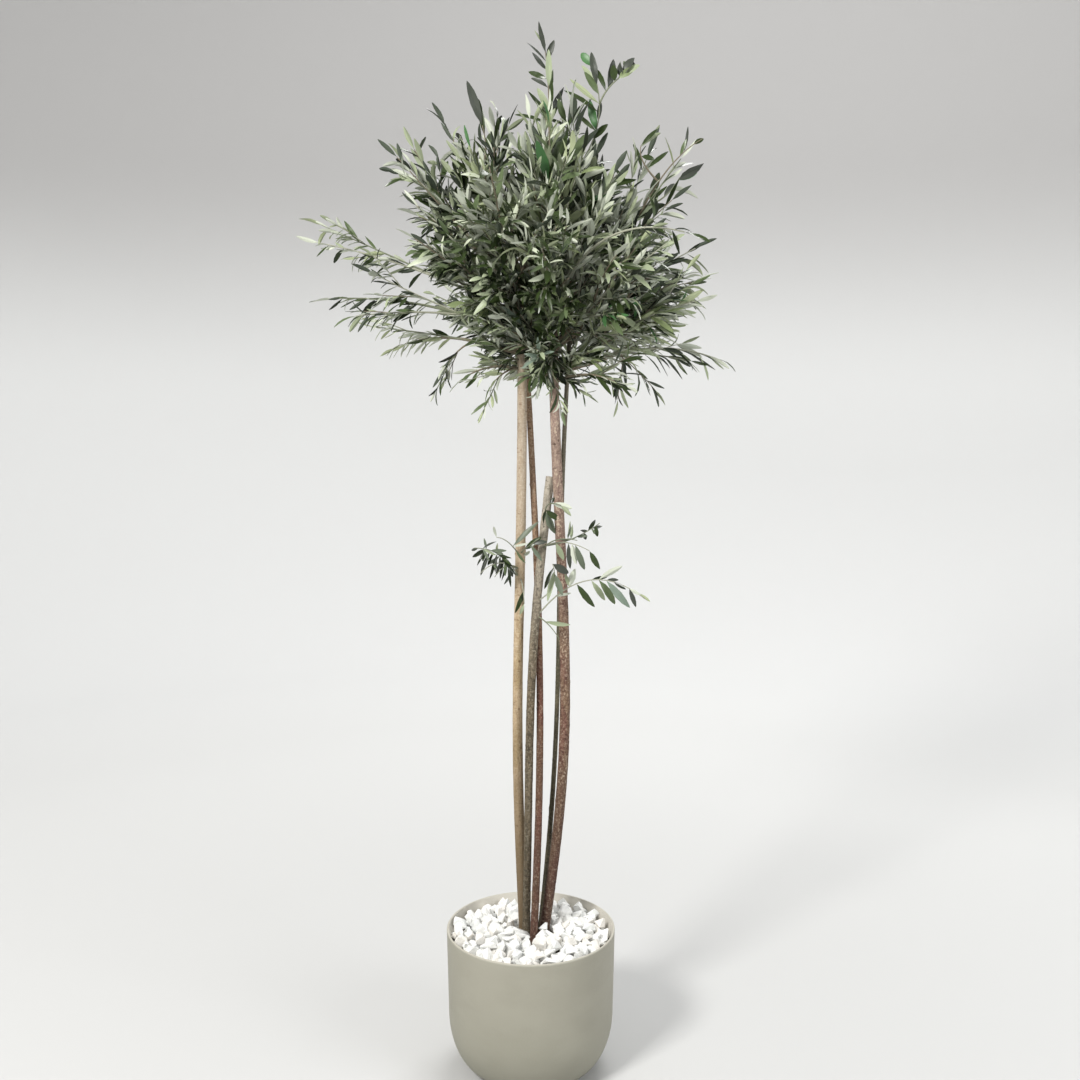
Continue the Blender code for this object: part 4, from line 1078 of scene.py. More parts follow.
def numbers(names, start="leaf_"):
    """The numbers of the leaf finishes with these names."""
    return [list(LEAF_TINTS).index(start + name) for name in names]


family_numbers = {name: (numbers(row[0]), numbers(row[1], "leaf_under_")) for name, row in FAMILIES.items()}
family_odds = np.array([row[2] for row in FAMILIES.values()])


def deal(rng, tip):
    """One family of colours for a spray. The pale ones are rarer on the left, below and above, as painted
    shade.
    """
    shaded = tip[0] < SHADED_LEFT or tip[2] < SHADED_BELOW or tip[2] > SHADED_ABOVE
    odds = family_odds * (SHADED_ODDS if shaded else 1.0)
    return list(FAMILIES)[rng.choice(len(FAMILIES), p=odds / odds.sum())]


print("families of colours:", len(FAMILIES))

# %% [markdown]
# ## The crown grows
#
# For each mass the leading spray is clothed first, then long side twigs are set on it and on its
# bough, and finer twigs on those. A few slim sprays stand out of the dense body and give the crown its
# ragged edge. The stems' upper ends carry twigs of their own, which close the middle of the crown, and
# one branch crosses the front almost bare.

# %% Clothe one twig
SIZE_HEIGHTS = (1.42, 1.70, 1.98)     # the heights for the next two rows of shares
SIZE_SHARES = (0.82, 1.00, 1.10)      # of the usual length of a leaf
BROAD_SHARES = (0.80, 1.00, 1.12)     # of the usual width for its length
NARROW_RIGHT = 0.30                   # share of the width lost for each metre to the right
SLANT_LEFT, SLANT_RIGHT = 0.75, 0.30  # shares of the length lost or won for each metre left or right
FINE_SCALE = 0.92                     # share of the length on the finest twigs
YOUNG_SHARE = 0.12                    # share of side twigs that have small broad leaves
YOUNG_SCALE, YOUNG_BROAD = 0.78, 1.55     # shares of the usual length, and of the usual width for it
SIDE_RADIUS, FINE_RADIUS = (0.0022, 0.0010), (0.0013, 0.0008)       # at root and tip
SIDE_BARE, FINE_BARE = 0.22, 0.18     # shares of a twig's length before its first leaves
FINE_COUNT = 2
FINE_SPREAD = 27
FINE_FROM, FINE_TO = 0.20, 0.75       # shares of a side twig where finer twigs stand
FINE_LONGEST, FINE_SHORTEST = 0.45, 0.22      # against its length
twig_blocks = {SPRAY_POINTS: [], SIDE_POINTS: [], FINE_POINTS: []}


def keep_twig(path, root_radius, tip_radius, tint):
    """Note a twig for the joined piece of twigs."""
    twig_blocks[len(path)].append((path, root_radius, tip_radius, tint))


def clothe(leaves, path, first, family, rng, scale=1.0, broad=1.0, **more):
    """Leaves on one path in its family's colours: larger towards the top and right, broader towards
    the top and narrower towards the right."""
    x, _, z = path[-1]
    slant = 1 + (SLANT_LEFT if x < 0 else SLANT_RIGHT) * x
    scale = scale * np.interp(z, SIZE_HEIGHTS, SIZE_SHARES) * slant
    broad = broad * np.interp(z, SIZE_HEIGHTS, BROAD_SHARES) * (1 - NARROW_RIGHT * max(x, 0))
    leaves.append(leaves_on(path, first, family_numbers[family], rng, scale, broad, **more))


def finer_twigs(path, count, low, high, longest, shortest, hang, rng):
    """Finer twigs on a twig, by the same rule and of fewer points."""
    return side_twigs(path, count, low, high, longest, shortest, FINE_SPREAD, hang, rng, FINE_POINTS)


def grow_twig(leaves, path, family, rng):
    """A side twig with its leaves and its finer twigs. One in a few has small broad leaves."""
    scale, broad = (YOUNG_SCALE, YOUNG_BROAD) if rng.random() < YOUNG_SHARE else (1.0, 1.0)
    keep_twig(path, *SIDE_RADIUS, rng.integers(3))
    clothe(leaves, path, SIDE_BARE, family, rng, scale, broad)
    run = np.linalg.norm(path[-1] - path[0])
    sizes = run * FINE_LONGEST, run * FINE_SHORTEST
    for finer in finer_twigs(path, FINE_COUNT, FINE_FROM, FINE_TO, *sizes, 0.2, rng):
        keep_twig(finer, *FINE_RADIUS, rng.integers(3))
        clothe(leaves, finer, FINE_BARE, family, rng, scale * FINE_SCALE, broad)


def grow_fitting(leaves, path, family, rng):
    """A side twig cut back until its tip lies in the crown's body, or none if it can't."""
    for shrink in np.linspace(1.0, 0.4, 7):
        shorter = path[0] + (path - path[0]) * shrink
        if inside_body(shorter[-1:] + unit(shorter[-1:] - shorter[-2:-1]) * LEAF_LENGTH * 0.5)[0]:
            grow_twig(leaves, shorter, family, rng)
            return


print("sizes of leaves:", SIZE_SHARES)

# %% Rules for sprays
SIDE_COUNT = 8
SIDE_COUNT_LOW = 5                    # on sprays that hang
SIDE_LONGEST = 0.26
SIDE_SHORTEST = 0.075
SIDE_TO = 0.62                        # share of a spray where its side twigs end
SPREAD = 27
BOUGH_TWIGS = (3, 0.3, 1.0, 0.22, 0.20, 40)   # number, from and to share, longest, shortest, spread
HANG, HANG_STEEP, STEEP = 0.40, 0.04, 45                    # steep sprays' side twigs hang less
LEAD_SPACING = 0.0225
LEAD_SCALE = 1.12
LEAD_END = 0.0011                                           # radius at a spray's tip
LEAD_TIP = LEAD_CUT * 1.06                                  # length of the last leaf
LEAD_BARE, OUTLYING_BARE, OUTLYING_FINE_BARE = 0.35, 0.30, 0.25
OUTLYING_RADIUS, OUTLYING_FINE_RADIUS = (0.0024, 0.0009), (0.0012, 0.0007)
LEAD_FAMILY = {"left": "deep", "left_level": "dark"}
BARE_LEADS = {"top": 0.45, "top_right": 0.50, "top_left": 0.75}     # shares kept, and left to the crest
GROUPS = {
    "top": ("top", "top_right", "top_left", "top_front", "top_back"),
    "upper": ("upper_right", "upper_left", "front_high", "back_high"),
    "right": ("right", "right_low", "right_drooping", "back_right"),
    "left": ("left", "left_level", "left_drooping", "back_left"),
    "front": ("front_left", "front_middle", "front_right"),
    "low": ("low_front", "low_left", "low_right", "low_back"),
}
group_of = {name: group for group, names in GROUPS.items() for name in names}
crown_leaves = {group: [] for group in GROUPS}


def grow_mass(name, rng):
    """A whole mass: leading spray, side twigs on spray and bough, finer twigs, leaves."""
    bough, spray, tip = plans[name]
    leaves = crown_leaves[group_of[name]]
    shares = np.linspace(0, BARE_LEADS.get(name, 1.0), len(spray))
    spray = pick(shares, np.linspace(0, 1, len(spray)), spray)
    keep_twig(spray, BOUGH_TIP, LEAD_END, rng.integers(3))
    family = LEAD_FAMILY.get(name) or deal(rng, tip)
    clothe(leaves, spray, LEAD_BARE, family, rng, LEAD_SCALE, spacing=LEAD_SPACING, tip=LEAD_TIP)
    rise = CROWN[name][3]
    hang = HANG_STEEP if rise > STEEP else HANG
    longest = min(SIDE_LONGEST, np.linalg.norm(spray[-1] - spray[0]) * 0.8)
    count = SIDE_COUNT if rise > -10 else SIDE_COUNT_LOW
    twigs = list(side_twigs(spray, count, 0.0, SIDE_TO, longest, SIDE_SHORTEST, SPREAD, hang, rng))
    if bough is not None:
        twigs += list(side_twigs(bough, *BOUGH_TWIGS, hang, rng))
    for path in twigs:
        grow_fitting(leaves, path, deal(rng, path[-1]), rng)


def nearest_mass(point):
    """The crown mass whose leading tip lies most nearly in the point's direction."""
    heads = np.stack([plans[name][2] - CROWN_CENTRE for name in CROWN])
    return list(CROWN)[int(np.argmax(unit(heads) @ unit(point - CROWN_CENTRE)))]


def grow_outlying(name, rng):
    """A long slim spray from a mass's bough to a tip that stands out of the crown's body."""
    tip = np.array(OUTLYING[name][:3])
    mass = nearest_mass(tip)
    leaves = crown_leaves[group_of[mass]]
    lead = plans[mass][1]
    start = lead[2]
    heading = unit(unit(lead[4] - lead[0]) + unit(tip - start) * 1.2)
    path = spray_path(start, heading, tip)
    family = OUTLYING[name][3] or deal(rng, tip)
    keep_twig(path, *OUTLYING_RADIUS, rng.integers(3))
    clothe(leaves, path, OUTLYING_BARE, family, rng, LEAD_SCALE, spacing=LEAD_SPACING, tip=LEAD_TIP)
    for finer in finer_twigs(path, OUTLYING[name][4], 0.35, 0.8, 0.10, 0.06, 0.1, rng):
        keep_twig(finer, *OUTLYING_FINE_RADIUS, rng.integers(3))
        clothe(leaves, finer, OUTLYING_FINE_BARE, family, rng, FINE_SCALE, spacing=LEAD_SPACING)


def grow_core(stem, low, high, count, longest, shortest, spread, hang, rng):
    """Leafy twigs straight from a stem's upper end, all round it."""
    line = np.stack([on_stem(stem, height) for height in np.linspace(low, high, 9)])
    for path in side_twigs(line, count, 0.0, 1.0, longest, shortest, spread, hang, rng):
        grow_fitting(crown_leaves[group_of[nearest_mass(path[-1])]], path, deal(rng, path[-1]), rng)


print("groups of masses:", len(GROUPS))

# %% Grow every mass
# name: tip x, y, z, family of colours where it has one of its own, and number of finer twigs
OUTLYING = {
    "beside_top": (0.072, -0.050, 1.981, "dark", 2),
    "near_top": (0.090, 0.060, 1.981, "dark", 2),
    "crest_left": (-0.057, 0.040, 1.980, "dark", 2),
    "crest_front": (-0.010, -0.080, 1.954, "grey", 2),
    "shoulder_left": (-0.188, 0.040, 1.965, "deep", 1),
    "shoulder_left_mid": (-0.248, 0.030, 1.914, "dark", 1),
    "shoulder_left_low": (-0.283, -0.050, 1.882, "deep", 2),
    "side_left_high": (-0.252, -0.070, 1.751, "dark", 2),
    "far_left": (-0.453, 0.050, 1.753, "grey", 2),
    "mid_left": (-0.338, -0.060, 1.653, None, 2),
    "hang_left": (-0.353, 0.060, 1.541, None, 2),
    "hang_left_front": (-0.374, -0.090, 1.542, None, 2),
    "under_left": (-0.189, 0.030, 1.405, "dark", 2),
    "under_left_front": (-0.088, -0.080, 1.388, "grey", 2),
    "shoulder_right": (0.249, 0.040, 1.925, "deep", 1),
    "side_right_front": (0.300, -0.080, 1.793, "dark", 1),
    "mid_right": (0.353, -0.070, 1.640, None, 2),
    "mid_right_back": (0.368, 0.090, 1.632, None, 2),
    "hang_right": (0.345, 0.050, 1.459, "dark", 2),
    "under_right": (0.217, -0.090, 1.441, "deep", 2),
    "under_right_mid": (0.161, 0.030, 1.419, "dark", 2),
    "under_middle": (0.099, -0.050, 1.419, "dark", 2),
    "under_centre": (0.044, -0.100, 1.377, "grey", 2),
}
CORES = (
    # stem, from and to height, number, length at the foot and head, spread, how far they hang
    ("stem_pale", 1.45, 1.650, 24, 0.15, 0.24, 50, 0.10),
    ("stem_thick", 1.44, 1.600, 22, 0.15, 0.24, 50, 0.10),
    ("stem_slim", 1.45, 1.560, 11, 0.15, 0.22, 50, 0.10),
    ("stem_thin", 1.45, 1.530, 8, 0.15, 0.20, 50, 0.10),
    ("stem_pale", 1.44, 1.520, 12, 0.11, 0.15, 80, 0.70),
    ("stem_thick", 1.43, 1.500, 12, 0.11, 0.15, 80, 0.70),
    ("stem_slim", 1.43, 1.500, 6, 0.11, 0.15, 80, 0.70),
)
crown_rng = np.random.default_rng(4)
for mass_name in CROWN:
    grow_mass(mass_name, crown_rng)
for spray_name in OUTLYING:
    grow_outlying(spray_name, crown_rng)
for row in CORES:
    grow_core(*row, crown_rng)
print("twigs of the masses:", sum(len(block) for block in twig_blocks.values()))

# %% Bend one bare branch across the front
FRONT_BRANCH = np.array([(0.105, -0.200, 1.735), (0.271, -0.250, 1.684)])      # elbow and tip
FRONT_RADIUS = 0.0038
FRONT_BARE = 0.66
front_branch = bent(on_stem("stem_thick", 1.56), *FRONT_BRANCH, SPRAY_POINTS)
keep_twig(front_branch, FRONT_RADIUS, LEAD_END, 2)
clothe(crown_leaves["front"], front_branch, FRONT_BARE, "dark", crown_rng)
print("twigs so far:", sum(len(block) for block in twig_blocks.values()))

# %% [markdown]
# ## Small shoots half way up
#
# A few short shoots stand out from the stems between about 0.95 and 1.2 metres up. Their leaves are few
# enough to be told apart, and some are broader than any in the crown, so each one is placed one by one:
# where it starts, where its tip hangs, how wide it is and its colour. A leaf is drawn to the nearest point
# of a twig, so that it always grows from wood.

# %% A rule for leaves set one by one
MILLIMETRES = 1000            # in a metre


def place_leaves(table, wood, rng):
    """Rows of leaves that start at the wood's nearest point and show their upper side or underside."""
    spans = np.array([row[:5] for row in table]) / MILLIMETRES
    away = np.hypot(spans[:, :1] - wood[:, 0], spans[:, 1:2] - wood[:, 2])
    root = wood[away.argmin(axis=1)]
    tip = np.stack([spans[:, 2], root[:, 1] + rng.normal(-0.006, 0.010, len(spans)), spans[:, 3]], -1)
    shown = [row[5] for row in table]
    below = [tint.startswith("under") for tint in shown]
    tints = numbers("grey_green" if under else tint for tint, under in zip(shown, below))
    unders = numbers(tint if under else "under_grey" for tint, under in zip(shown, below))
    heading = unit(tip - root)
    front = np.where(below, 1.0, -1.0)[:, None] * np.array([0.0, 1.0, 0.0])
    upper = square_to(heading, front + rng.normal(0, 0.30, root.shape) - DOWN * 0.25)
    length = np.linalg.norm(tip - root, axis=1) * 1.03
    return leaf_rows(root, heading, upper, length, spans[:, 4], tints, unders)


print("a leaf of 50 in a table is", 50 / MILLIMETRES, "m long")

# %% Set the shoots
SHOOT_TWIGS = (
    # stem, height of the root; elbow and tip x, y, z in mm
    ("stem_pale", 1.030, (-46, -45, 1102), (-110, -60, 1104)),
    ("stem_pale", 1.048, (-60, -50, 1092), (-98, -62, 1054)),
    ("stem_pale", 1.052, (-46, -48, 1082), (-70, -58, 1046)),
    ("stem_pale", 1.078, (-42, -45, 1122), (-66, -52, 1124)),
    ("stem_pale", 1.085, (-12, -45, 1100), (18, -52, 1122)),
    ("stem_pale", 1.035, (-14, -35, 1034), (-12, -42, 990)),
    ("stem_stub", 1.160, (26, -45, 1200), (60, -60, 1188)),
    ("stem_stub", 1.092, (44, -45, 1128), (92, -60, 1119)),
    ("stem_stub", 1.100, (80, -45, 1110), (136, -52, 1152)),
    ("stem_stub", 1.096, (62, -48, 1128), (116, -58, 1098)),
    ("stem_stub", 0.955, (108, -44, 1094), (226, -60, 1003)),
    ("stem_stub", 0.990, (60, -52, 1020), (44, -56, 1072)),
    ("stem_stub", 0.962, (40, -38, 950), (58, -44, 918)),
)
SHOOT_LEAVES = (
    # start x and z, tip x and z, width, all in mm, and the tint of the side that shows
    (41, 1188, 85, 1183, 13, "under_silver"), (57, 1183, 79, 1168, 10, "under_grey"),
    (33, 1210, 48, 1201, 9, "black_green"), (27, 1175, 58, 1153, 13, "deep_green"),
    (27, 1172, 50, 1126, 16, "dull_green"), (27, 1175, 25, 1153, 8, "black_green"),
    (73, 1130, 74, 1162, 14, "dull_green"), (80, 1128, 85, 1148, 8, "under_grey"),
    (51, 1120, 95, 1119, 6, "charcoal"), (119, 1152, 141, 1143, 8, "charcoal"),
    (121, 1150, 132, 1124, 10, "deep_green"), (116, 1150, 125, 1134, 8, "grey_green"),
    (108, 1148, 97, 1136, 8, "charcoal"), (101, 1138, 110, 1119, 9, "black_green"),
    (105, 1146, 128, 1158, 8, "black_green"), (91, 1132, 109, 1129, 7, "dull_green"),
    (80, 1112, 91, 1071, 13, "under_silver"), (91, 1111, 107, 1057, 13, "dull_green"),
    (113, 1100, 137, 1062, 13, "deep_green"), (74, 1113, 78, 1062, 11, "charcoal"),
    (53, 1113, 66, 1076, 12, "sage"), (141, 1038, 180, 1068, 13, "under_silver"),
    (118, 1041, 152, 1045, 8, "black_green"), (147, 1040, 174, 1039, 8, "charcoal"),
    (168, 1031, 187, 1023, 8, "black_green"), (93, 1031, 125, 985, 14, "deep_green"),
    (116, 1027, 152, 990, 12, "sage"), (132, 1030, 174, 990, 15, "grey_green"),
    (151, 1028, 198, 984, 16, "blue_sage"), (182, 1015, 208, 987, 10, "charcoal"),
    (187, 1019, 214, 1011, 7, "under_silver"), (205, 1007, 237, 1000, 7, "under_olive"),
    (67, 1025, 89, 1057, 15, "under_silver"), (81, 1029, 68, 1051, 10, "under_grey"),
    (36, 1074, 75, 1053, 16, "charcoal"), (55, 1056, 63, 1011, 13, "dull_green"),
    (49, 1059, 34, 998, 11, "sage"), (46, 1066, 27, 1027, 9, "black_green"),
    (51, 1001, 81, 1011, 6, "under_silver"), (34, 958, 76, 945, 10, "sage"),
    (-85, 1113, -113, 1086, 9, "black_green"), (-82, 1111, -94, 1078, 7, "deep_green"),
    (-77, 1097, -100, 1049, 8, "charcoal"), (-70, 1090, -80, 1042, 8, "black_green"),
    (-63, 1082, -89, 1058, 7, "dull_green"), (-56, 1078, -69, 1046, 7, "charcoal"),
    (-50, 1074, -52, 1050, 7, "grey_green"), (-45, 1061, -31, 1042, 7, "black_green"),
    (-42, 1053, -47, 1030, 6, "charcoal"), (-69, 1105, -40, 1081, 7, "deep_green"),
    (-93, 1102, -67, 1090, 6, "sage"), (-74, 1110, -47, 1098, 7, "dull_green"),
    (-56, 1095, -30, 1049, 7, "black_green"), (-80, 1085, -55, 1092, 6, "dull_green"),
    (-94, 1110, -69, 1120, 6, "charcoal"), (-61, 1102, -66, 1116, 6, "under_olive"),
    (-52, 1099, -37, 1069, 7, "deep_green"), (-75, 1082, -65, 1062, 7, "grey_green"),
    (-90, 1095, -107, 1092, 6, "charcoal"), (-65, 1124, -73, 1150, 6, "under_silver"),
    (-30, 1108, 15, 1152, 12, "dull_green"), (-14, 1096, 21, 1120, 13, "deep_green"),
    (4, 1109, 31, 1117, 10, "charcoal"), (-5, 1069, 7, 1092, 7, "under_silver"),
    (-31, 1105, 0, 1111, 6, "under_silver"), (6, 1102, 22, 1076, 9, "dull_green"),
    (-27, 1095, -10, 1069, 8, "grey_green"), (-10, 1017, -29, 971, 10, "deep_green"),
    (-9, 989, -22, 968, 7, "sage"), (-15, 1011, -19, 990, 7, "black_green"),
    (-98, 1108, -116, 1098, 6, "charcoal"), (-88, 1100, -104, 1070, 6, "black_green"),
    (-83, 1093, -92, 1062, 6, "charcoal"), (-72, 1098, -86, 1068, 6, "black_green"),
    (-66, 1090, -72, 1058, 6, "charcoal"), (-60, 1086, -64, 1052, 6, "deep_green"),
    (-54, 1080, -60, 1040, 6, "black_green"), (-48, 1070, -58, 1034, 6, "black_green"),
    (-92, 1104, -80, 1080, 6, "dull_green"), (-70, 1106, -54, 1090, 6, "charcoal"),
    (-60, 1098, -44, 1076, 6, "charcoal"), (-84, 1108, -90, 1122, 5, "dull_green"),
    (-50, 1088, -36, 1066, 6, "black_green"), (-44, 1062, -38, 1030, 6, "black_green"),
)
SHOOT_RADIUS = (0.0016, 0.0008)
SHOOTS = ("shoot_left", "shoot_stub", "shoot_right", "shoot_low")
shoot_rng = np.random.default_rng(21)
shoot_wood = []
for stem, height, elbow, tip in SHOOT_TWIGS:
    path = bent(on_stem(stem, height), *np.array([elbow, tip]) / MILLIMETRES, SPRAY_POINTS)
    keep_twig(path, *SHOOT_RADIUS, 2 * shoot_rng.integers(2))
    shoot_wood.append(path)
shoot_wood = np.concatenate(shoot_wood)
shoot_rows = place_leaves(SHOOT_LEAVES, shoot_wood, shoot_rng)
print("shoots:", len(SHOOT_TWIGS), "twigs with", len(shoot_rows), "leaves")

# %% [markdown]
# ## The crest
#
# The crown's highest sprays stand free against the wall, so their leaves too are placed one by one: a slim
# dark sprig at the very top, a bright green one beside it with a twisted tip, one tall leaf on the left, and
# a few thin twigs that reach out to the right.

# %% Set the crest
CREST_TWIGS = (
    # name, the spray or twig it leaves, point of that; elbow and tip x, y, z in mm
    ("sprig", "top", 5, (43, -6, 1950), (28, -10, 2062)),
    ("bright", "top", 4, (172, -24, 1888), (116, -29, 2018)),
    ("twisted", "bright", 11, (150, -29, 1995), (202, -29, 2014)),
    ("tall_left", "top_left", 8, (-76, -10, 1860), (-91, -20, 1912)),
    ("long_right", "upper_right", 9, (262, -24, 1850), (329, -29, 1886)),
    ("short_right", "long_right", 5, (204, -24, 1846), (212, -26, 1874)),
    ("large_right", "upper_right", 10, (262, -24, 1771), (286, -29, 1814)),
)
CREST_LEAVES = (
    # start x and z, tip x and z, width, all in mm, and the tint of the side that shows
    (34, 2055, 17, 2098, 10, "charcoal"), (42, 2035, 46, 2071, 13, "charcoal"),
    (31, 2035, -5, 2064, 10, "charcoal"), (34, 2015, 2, 2045, 10, "charcoal"),
    (32, 1993, -5, 2018, 11, "deep_green"), (25, 1976, 4, 2009, 9, "charcoal"),
    (29, 2055, 10, 2083, 5, "under_grey"), (42, 1989, 36, 2051, 13, "sage"),
    (44, 1971, 46, 2026, 11, "grey_green"), (38, 1942, 44, 1993, 9, "deep_green"),
    (36, 1934, 19, 1989, 14, "sage"), (53, 1916, 50, 1964, 11, "deep_green"),
    (21, 1933, -7, 1971, 11, "deep_green"), (65, 1934, 63, 1991, 13, "charcoal"),
    (93, 1934, 67, 1986, 11, "deep_green"), (14, 1923, -24, 1944, 11, "deep_green"),
    (32, 1916, 14, 1960, 11, "grey_green"), (123, 2015, 97, 2045, 16, "fresh_green"),
    (133, 1989, 114, 2040, 14, "charcoal"), (138, 1978, 127, 2017, 11, "deep_green"),
    (129, 1989, 97, 2027, 10, "sage"), (135, 1969, 104, 2007, 15, "grey_green"),
    (112, 1951, 78, 1991, 10, "under_olive"), (139, 1896, 114, 1962, 17, "fresh_green"),
    (137, 1916, 135, 1962, 10, "charcoal"), (143, 1883, 145, 1911, 14, "deep_green"),
    (114, 1905, 91, 1934, 9, "grey_green"), (146, 1980, 159, 2031, 18, "charcoal"),
    (163, 1987, 157, 2018, 15, "deep_green"), (174, 1993, 172, 2026, 16, "charcoal"),
    (182, 1998, 193, 2035, 19, "charcoal"), (193, 2004, 178, 2029, 14, "grey_green"),
    (202, 2015, 183, 2031, 13, "charcoal"), (186, 1998, 204, 2018, 14, "sage"),
    (171, 1991, 197, 2017, 14, "olive"), (-91, 1909, -119, 1991, 18, "charcoal"),
    (-87, 1889, -98, 1960, 11, "deep_green"), (202, 1870, 242, 1903, 14, "under_grey"),
    (210, 1878, 238, 1901, 8, "deep_green"), (198, 1850, 238, 1850, 11, "deep_green"),
    (244, 1848, 263, 1865, 9, "deep_green"), (269, 1868, 299, 1885, 8, "grey_green"),
    (299, 1865, 304, 1909, 6, "charcoal"), (301, 1883, 331, 1887, 10, "deep_green"),
    (283, 1807, 328, 1839, 19, "charcoal"), (287, 1804, 321, 1826, 13, "fresh_green"),
    (258, 1781, 277, 1815, 10, "charcoal"),
)
CREST_RADIUS = (0.0022, 0.0008)
crest_rng = np.random.default_rng(33)
crest_paths = {name: plan[1] for name, plan in plans.items()}
for name, parent, point, elbow, tip in CREST_TWIGS:
    path = bent(crest_paths[parent][point], *np.array([elbow, tip]) / MILLIMETRES, SPRAY_POINTS)
    keep_twig(path, *CREST_RADIUS, crest_rng.integers(2))
    crest_paths[name] = path
crest_wood = np.concatenate([crest_paths[row[0]] for row in CREST_TWIGS])
crest_rows = place_leaves(CREST_LEAVES, crest_wood, crest_rng)
print("crest:", len(CREST_TWIGS), "twigs with", len(crest_rows), "leaves")

# %% [markdown]
# ## Leaf blades
#
# One leaf is a narrow blade, widest before its middle, pointed at both ends, folded a little along
# its midrib and curved backwards. It is cut across at five places, with four points at each: two
# edges, the top of the midrib and its back. That makes 22 points and 40 small faces, closed all round,
# with the upper side and the underside as different colours. All leaves of a piece are worked out
# together as one array.

# %% Turn leaf rows into meshes
STATIONS = np.array([0.06, 0.25, 0.50, 0.75, 0.93])
HALF_WIDTHS = np.array([0.13, 0.72, 1.0, 0.80, 0.36])
FOLD = math.radians(19)
MIDRIB = 0.0007
CURL, CURL_LOOSE, CURL_LEAST = 0.32, 0.34, 0.02      # in radians over the whole leaf
TWIST_LOOSE = 0.55
SHOWN_AHEAD, SHOWN_RADIUS = 0.002, 0.011             # room kept free before wood that shows


def leaf_template():
    """Faces of one leaf over its 22 points: root, five rings of left, top, right, back, and tip."""
    rings = len(STATIONS)
    left, top, right, back = (1 + 4 * np.arange(rings) + corner for corner in range(4))
    root, tip, end = 0, 1 + 4 * rings, rings - 1
    upper = [(root, left[0], top[0]), (root, top[0], right[0])]
    upper += [(left[end], tip, top[end]), (top[end], tip, right[end])]
    lower = [(root, back[0], left[0]), (root, right[0], back[0])]
    lower += [(left[end], back[end], tip), (back[end], right[end], tip)]
    for k in range(end):
        upper += [(left[k], left[k + 1], top[k + 1]), (left[k], top[k + 1], top[k])]
        upper += [(top[k], top[k + 1], right[k + 1]), (top[k], right[k + 1], right[k])]
        lower += [(left[k], back[k], back[k + 1]), (left[k], back[k + 1], left[k + 1])]
        lower += [(back[k], right[k], right[k + 1]), (back[k], right[k + 1], back[k + 1])]
    return np.array(upper + lower), len(upper)


def leaf_points(rows, rng):
    """All points of all leaves. Centre line: an arc that bends by the curl towards the underside;
    across it the blade turns by the twist, and its edges rise by the fold."""
    root, heading, normal = (rows[:, None, part] for part in (ROOT, HEADING, UPPER))
    length, width = rows[:, LENGTH, None], rows[:, WIDTH, None]
    curl = rng.normal(CURL, CURL_LOOSE, (len(rows), 1))
    curl = np.where(np.abs(curl) < CURL_LEAST, CURL_LEAST, curl)
    twist = rng.normal(0, TWIST_LOOSE, (len(rows), 1))
    u = np.concatenate([[0.0], STATIONS, [1.0]])
    bend = curl * u
    ahead = (np.sin(bend) / curl * length)[..., None]
    behind = ((1 - np.cos(bend)) / curl * length)[..., None]
    centre = root + heading * ahead - normal * behind
    up = normal * np.cos(bend)[..., None] + heading * np.sin(bend)[..., None]
    across = np.cross(normal, heading)
    turn = (twist * u)[..., None]
    wide = across * np.cos(turn) + up * np.sin(turn)
    raised = up * np.cos(turn) - across * np.sin(turn)
    half = (width * 0.5 * HALF_WIDTHS)[..., None]
    inner, side, raised = centre[:, 1:-1], wide[:, 1:-1] * half, raised[:, 1:-1]
    lift = raised * half * math.tan(FOLD)
    rib = raised * MIDRIB * 0.5
    ring = np.stack([inner - side + lift, inner + rib, inner + side + lift, inner - rib], axis=2)
    return np.concatenate([centre[:, :1], ring.reshape(len(rows), -1, 3), centre[:, -1:]], axis=1)


def along_leaves(rows, shares):
    """Points on each leaf's straight line, from its root, at shares of its length."""
    reach = np.reshape(shares, (-1, 1))
    return rows[:, None, ROOT] + rows[:, None, HEADING] * rows[:, LENGTH, None, None] * reach


def clear_of_wood(rows, spare):
    """Which leaves keep off the stems: no point along the blade nearer to an axis than its radius
    and the spare."""
    samples = along_leaves(rows, np.linspace(0.3, 1.0, 5))
    height = samples[..., 2]
    free = np.ones(len(rows), bool)
    for line, radii in stems.values():
        radius = np.interp(height, line[:, 2], radii, left=0.0, right=0.0)
        off = samples[..., :2] - pick(height, line[:, 2], line[:, :2])
        free &= ((np.hypot(off[..., 0], off[..., 1]) > radius + spare) | (height > line[-1, 2])).all(axis=1)
    return free


def hides_wood(rows, places):
    """Which leaves hang before one of the places: nearer than the radius to its line towards the viewer."""
    samples = along_leaves(rows, np.linspace(0.0, 1.0, 6))
    towards = unit(np.array(CAMERA_PLACE) - places)
    gap = samples[:, :, None] - places
    along = (gap * towards).sum(-1)
    off = np.linalg.norm(gap - along[..., None] * towards, axis=-1)
    return ((along > SHOWN_AHEAD) & (off < SHOWN_RADIUS)).any(axis=(1, 2))


def leaf_piece(name, rows, nodes, rng):
    """A joined piece of leaves that stands for the given masses."""
    points = leaf_points(rows, rng)
    faces, upper_count = leaf_template()
    shift = (np.arange(len(rows)) * points.shape[1])[:, None, None]
    all_faces = (faces[None] + shift).reshape(-1, 3)
    upper_side = np.arange(len(faces)) < upper_count
    tints = np.where(upper_side, rows[:, TINT, None], rows[:, UNDER_TINT, None]).ravel()
    piece = new_piece(name, points.reshape(-1, 3), [all_faces], leaf_finishes, indices=tints, crease=32)
    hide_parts(*nodes)
    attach(piece, "root")
    print(name, "leaves", len(rows), "triangles", len(all_faces))


print("faces of one leaf:", len(leaf_template()[0]))

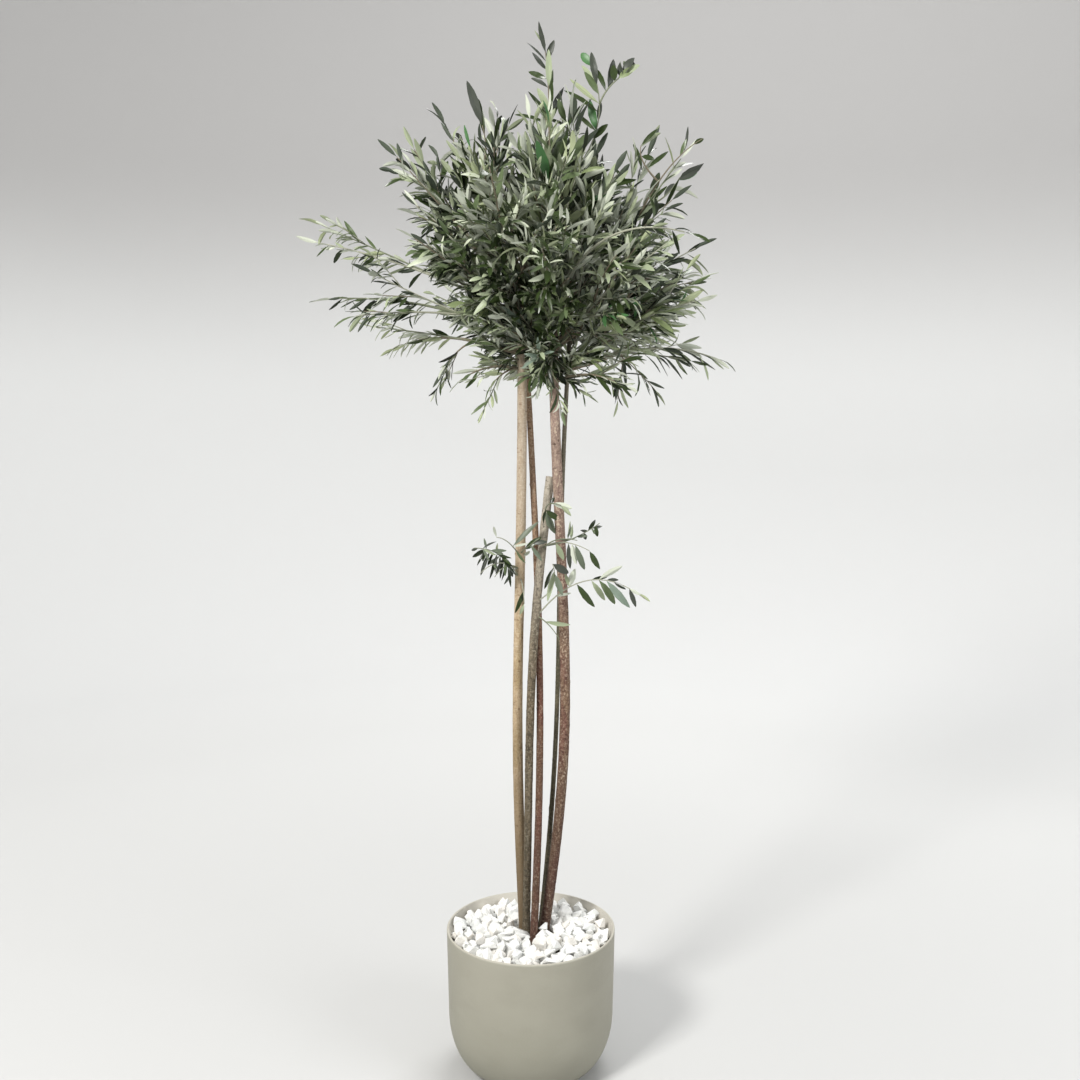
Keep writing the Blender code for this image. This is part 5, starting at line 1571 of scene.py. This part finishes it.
# %% Set the leaves on the crown
LEAF_OFF_WOOD = 0.0015        # room between crown leaves and stems
SHOOT_OFF_WOOD = -0.004       # shoot leaves start close to a stem, so they may come nearer
REACH_SPARE = 0.045
shown_wood = np.concatenate([front_branch[3:10], stems["stem_pale"][0][-1:]])
leaf_rng = np.random.default_rng(9)
for group, names in GROUPS.items():
    rows = np.concatenate(crown_leaves[group])
    within = inside_reach(along_leaves(rows, 1.0)[:, 0], REACH_SPARE)
    rows = rows[clear_of_wood(rows, LEAF_OFF_WOOD) & within & ~hides_wood(rows, shown_wood)]
    leaf_piece("leaves_" + group, rows, ["crown_" + name for name in names], leaf_rng)
leaf_piece("leaves_shoots", shoot_rows[clear_of_wood(shoot_rows, SHOOT_OFF_WOOD)], SHOOTS, leaf_rng)
leaf_piece("leaves_crest", crest_rows, ["crown_top", "crown_top_left", "crown_top_right"], leaf_rng)

# %% [markdown]
# ## Twigs
#
# All twigs are tubes of the same few sides, so they are made in three blocks, one for each number of
# points along a twig, and joined. Three plain colours run from green young wood to grey.

# %% Join the twigs
TWIG_TINTS = {
    "twig_green": ((0.150, 0.166, 0.104), 0.55),
    "twig_brown": ((0.160, 0.135, 0.092), 0.65),
    "twig_grey": ((0.290, 0.295, 0.225), 0.60),
}
twig_finishes = [Finish(name, *values) for name, values in TWIG_TINTS.items()]
TWIG_SIDES = {SPRAY_POINTS: 6, SIDE_POINTS: 4, FINE_POINTS: 4}
twig_points, quads, triangles, quad_tints, triangle_tints, offset = [], [], [], [], [], 0
for count, block in twig_blocks.items():
    lines, roots, tips, tints = (np.array(column) for column in zip(*block))
    radii = roots[:, None] + (tips - roots)[:, None] * np.linspace(0, 1, count)
    points, walls, fans = tubes(lines, radii, TWIG_SIDES[count])
    twig_points.append(points)
    quads.append(walls + offset)
    triangles.append(fans + offset)
    quad_tints.append(np.repeat(tints, len(walls) // len(block)))
    triangle_tints.append(np.repeat(tints, len(fans) // len(block)))
    offset += len(points)
tints = np.concatenate(quad_tints + triangle_tints)
twig_points = np.concatenate(twig_points)
twig_piece = new_piece("twigs", twig_points, quads + triangles, twig_finishes, indices=tints)
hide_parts(*["crown_" + name for name in CROWN], *SHOOTS)
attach(twig_piece, "root")
print("twigs:", sum(len(block) for block in twig_blocks.values()), "faces", len(twig_piece.data.polygons))
